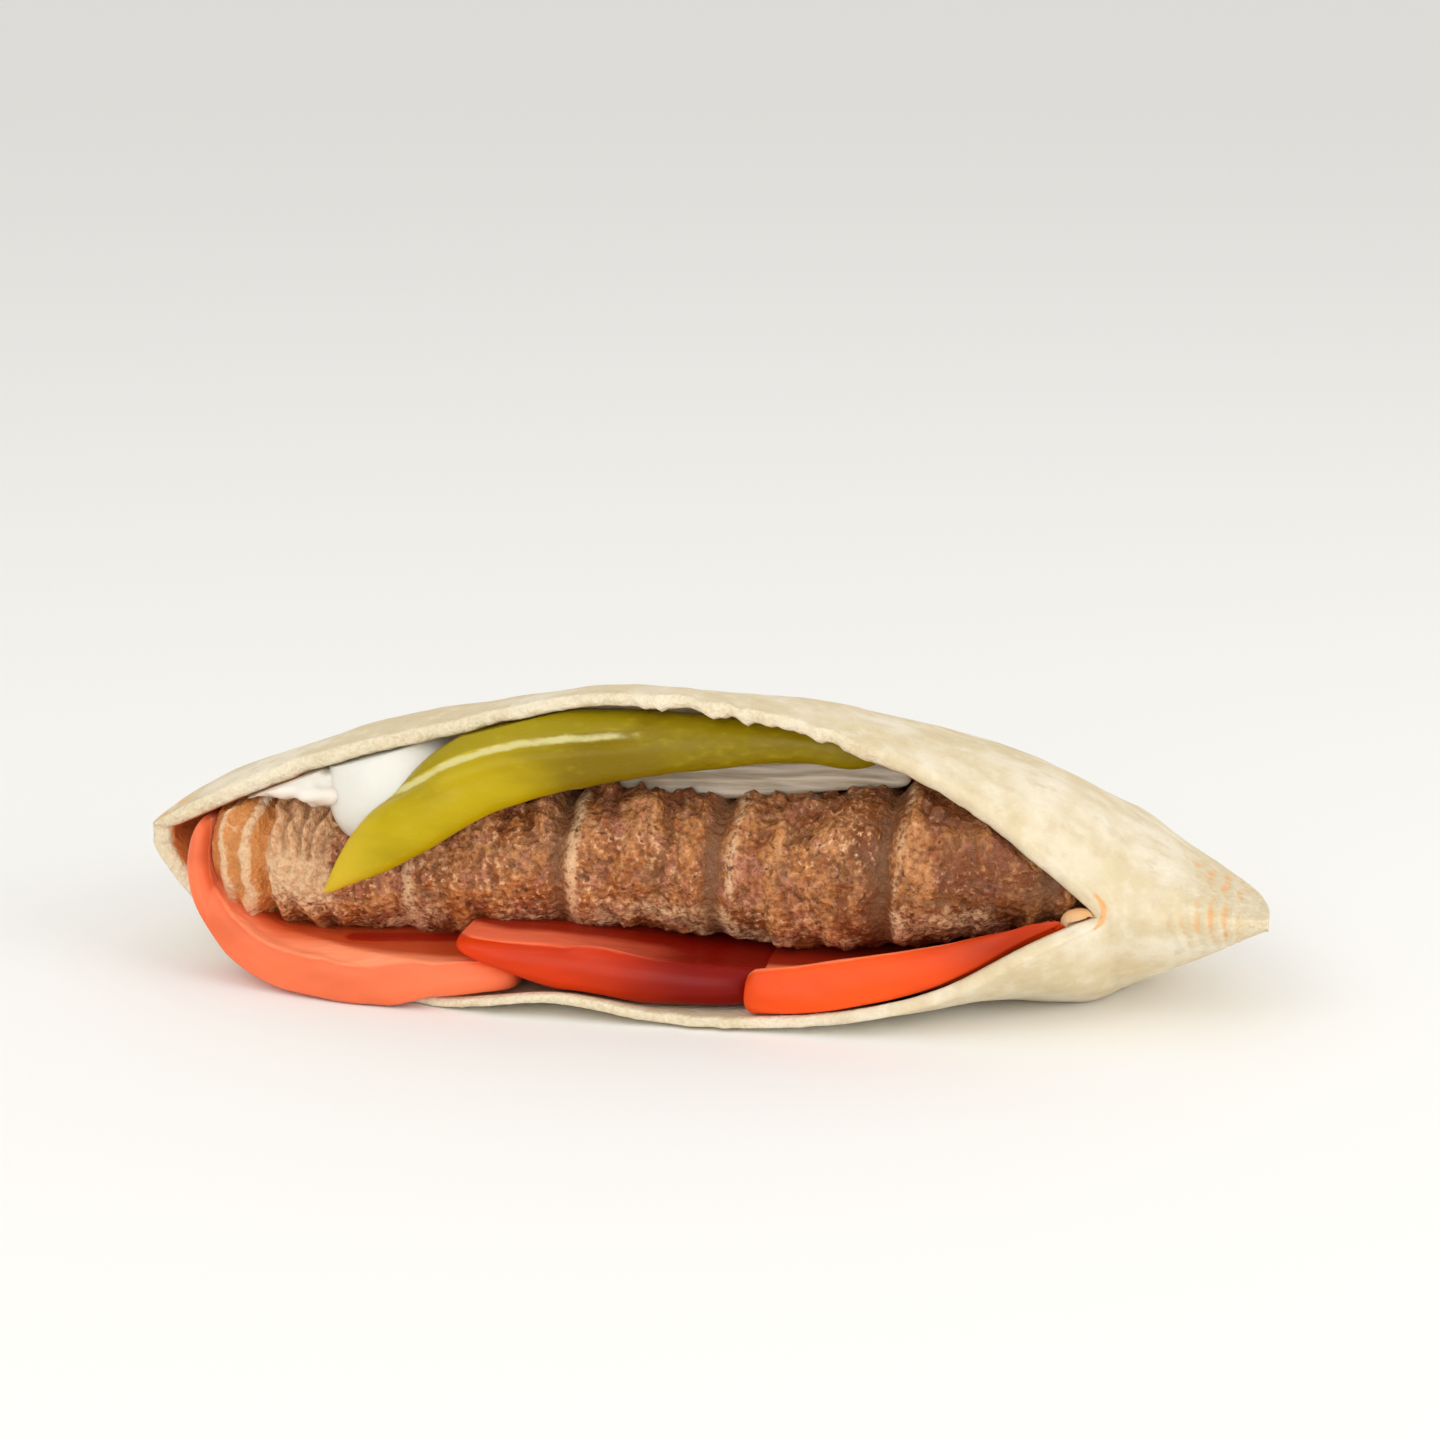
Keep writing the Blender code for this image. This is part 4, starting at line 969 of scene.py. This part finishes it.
def sauce():
    """Blob under the top lip and thinner smear over the kebab: uneven ellipsoids, kept inside the bread."""
    finish = sauce_finish()
    polar, turn = np.linspace(0, np.pi, SAUCE_ROWS)[:, None], around(SAUCE_AROUND)
    c, s = np.cos(polar), np.sin(polar)
    girth = np.clip(s, 0, 1)**SAUCE_BLUNT * (1 + 0.05 * np.sin(3 * turn + 2 * polar) * s)
    x = SAUCE_MIDDLE[0] - SAUCE_HALF[0] * c + 0 * turn
    y = SAUCE_MIDDLE[1] + SAUCE_HALF[1] * girth * np.cos(turn)
    z = SAUCE_MIDDLE[2] + SAUCE_HALF[2] * girth * np.sin(turn)
    blob = np.stack([x, y, z], -1)
    blob += normals(blob) * (0.35 * noise(blob, 6.0, 61))[..., None]
    blob[..., 2] = kept_inside(*np.moveaxis(blob, -1, 0))
    stands_for(sleeve("sauce", blob, finish, dict(thin=0 * x)), "sauce")

    girth = np.clip(s, 0, 1)**SMEAR_BLUNT
    x = SMEAR_MIDDLE[0] - SMEAR_HALF[0] * c + 0 * turn
    y = SMEAR_MIDDLE[1] + SMEAR_HALF[1] * girth * np.cos(turn)
    half_height = SMEAR_HALF[2] + SMEAR_THICKER * step(x, *SMEAR_THICKER_FROM)
    z = SMEAR_MIDDLE[2] + half_height * girth * np.sin(turn)
    smear = np.stack([x, y, z], -1)
    smear += normals(smear) * (1.1 * noise(smear, 2.4, 62))[..., None]
    smear[..., 2] = kept_inside(*np.moveaxis(smear, -1, 0))
    thin = 0.75 + 0.3 * noise(smear, 4.0, 63) + 0 * x
    stands_for(sleeve("sauce_smear", smear, finish, dict(thin=thin)), "sauce")


def build():
    """Every piece in place of its CAD node."""
    pita()
    kebab()
    # The three slices' tones differ partly on their own and partly as painted light: the left one lighter,
    # the middle one darker red
    tomato("tomato_left", tone(246, 120, 76), tone(255, 146, 104), tone(206, 82, 40), 4.5)
    tomato("tomato_middle", tone(222, 60, 8), tone(255, 120, 84), tone(164, 42, 16), 8.0)
    tomato("tomato_right", tone(250, 84, 18), tone(250, 128, 84), tone(160, 40, 18), 8.0)
    pepper()
    onion()
    sauce()


# Studio

def camera():
    """Camera fitted to the photograph, looking along the view's axes."""
    side, up, ahead, stand = view()
    made = bpy.data.cameras.new("camera")
    made.lens = FOCAL
    made.sensor_width = SENSOR
    made.clip_start = 0.01
    seen_by = bpy.data.objects.new("camera", made)
    turned = Matrix((side, up, -ahead)).transposed().to_4x4()
    seen_by.matrix_world = Matrix.Translation(Vector((stand - MIDDLE) * MM)) @ turned
    bpy.context.scene.collection.objects.link(seen_by)
    bpy.context.scene.camera = seen_by


def softbox(name, place, size, power, colour=(1, 1, 1)):
    """Square area light that looks at the sandwich."""
    made = bpy.data.lights.new(name, "AREA")
    made.shape = "SQUARE"
    made.size = size
    made.energy = power
    made.color = colour
    lamp = bpy.data.objects.new(name, made)
    turned = (Vector(place) - Vector(LIT_PLACE)).to_track_quat("Z", "Y").to_matrix().to_4x4()
    lamp.matrix_world = Matrix.Translation(place) @ turned
    bpy.context.scene.collection.objects.link(lamp)


def studio():
    """Pale floor, even white surroundings, and soft lights at the front left, right, top and front."""
    finish = Finish("pale floor", Specular_IOR_Level=0.2)
    floor = bpy.data.meshes.new("floor")
    reach = FLOOR_REACH
    corners = [(-reach, -reach, 0), (reach, -reach, 0), (reach, reach, 0), (-reach, reach, 0)]
    floor.from_pydata(corners, [], [(0, 1, 2, 3)])
    floor.materials.append(finish.done(tone(246, 245, 242), 0.8, finish.noise(30.0, 2.0), 0.02))
    ground = bpy.data.objects.new("floor", floor)
    bpy.context.scene.collection.objects.link(ground)
    world = bpy.data.worlds.new("studio")
    world.use_nodes = True
    background = world.node_tree.nodes["Background"]
    background.inputs["Color"].default_value = (1.0, 0.99, 0.975, 1.0)
    background.inputs["Strength"].default_value = SURROUNDINGS
    bpy.context.scene.world = world
    softbox("key", (-0.45, -0.75, 0.85), 0.7, 2.3, (1.0, 0.98, 0.95))
    softbox("fill", (1.0, -0.3, 0.42), 0.8, 4.3)
    softbox("top", (0.05, 0.25, 1.1), 0.9, 0.4)
    softbox("front", (0.0, -1.1, 0.3), 0.7, 2.7)
    bpy.context.scene.view_settings.view_transform = "Standard"


build()
studio()
camera()
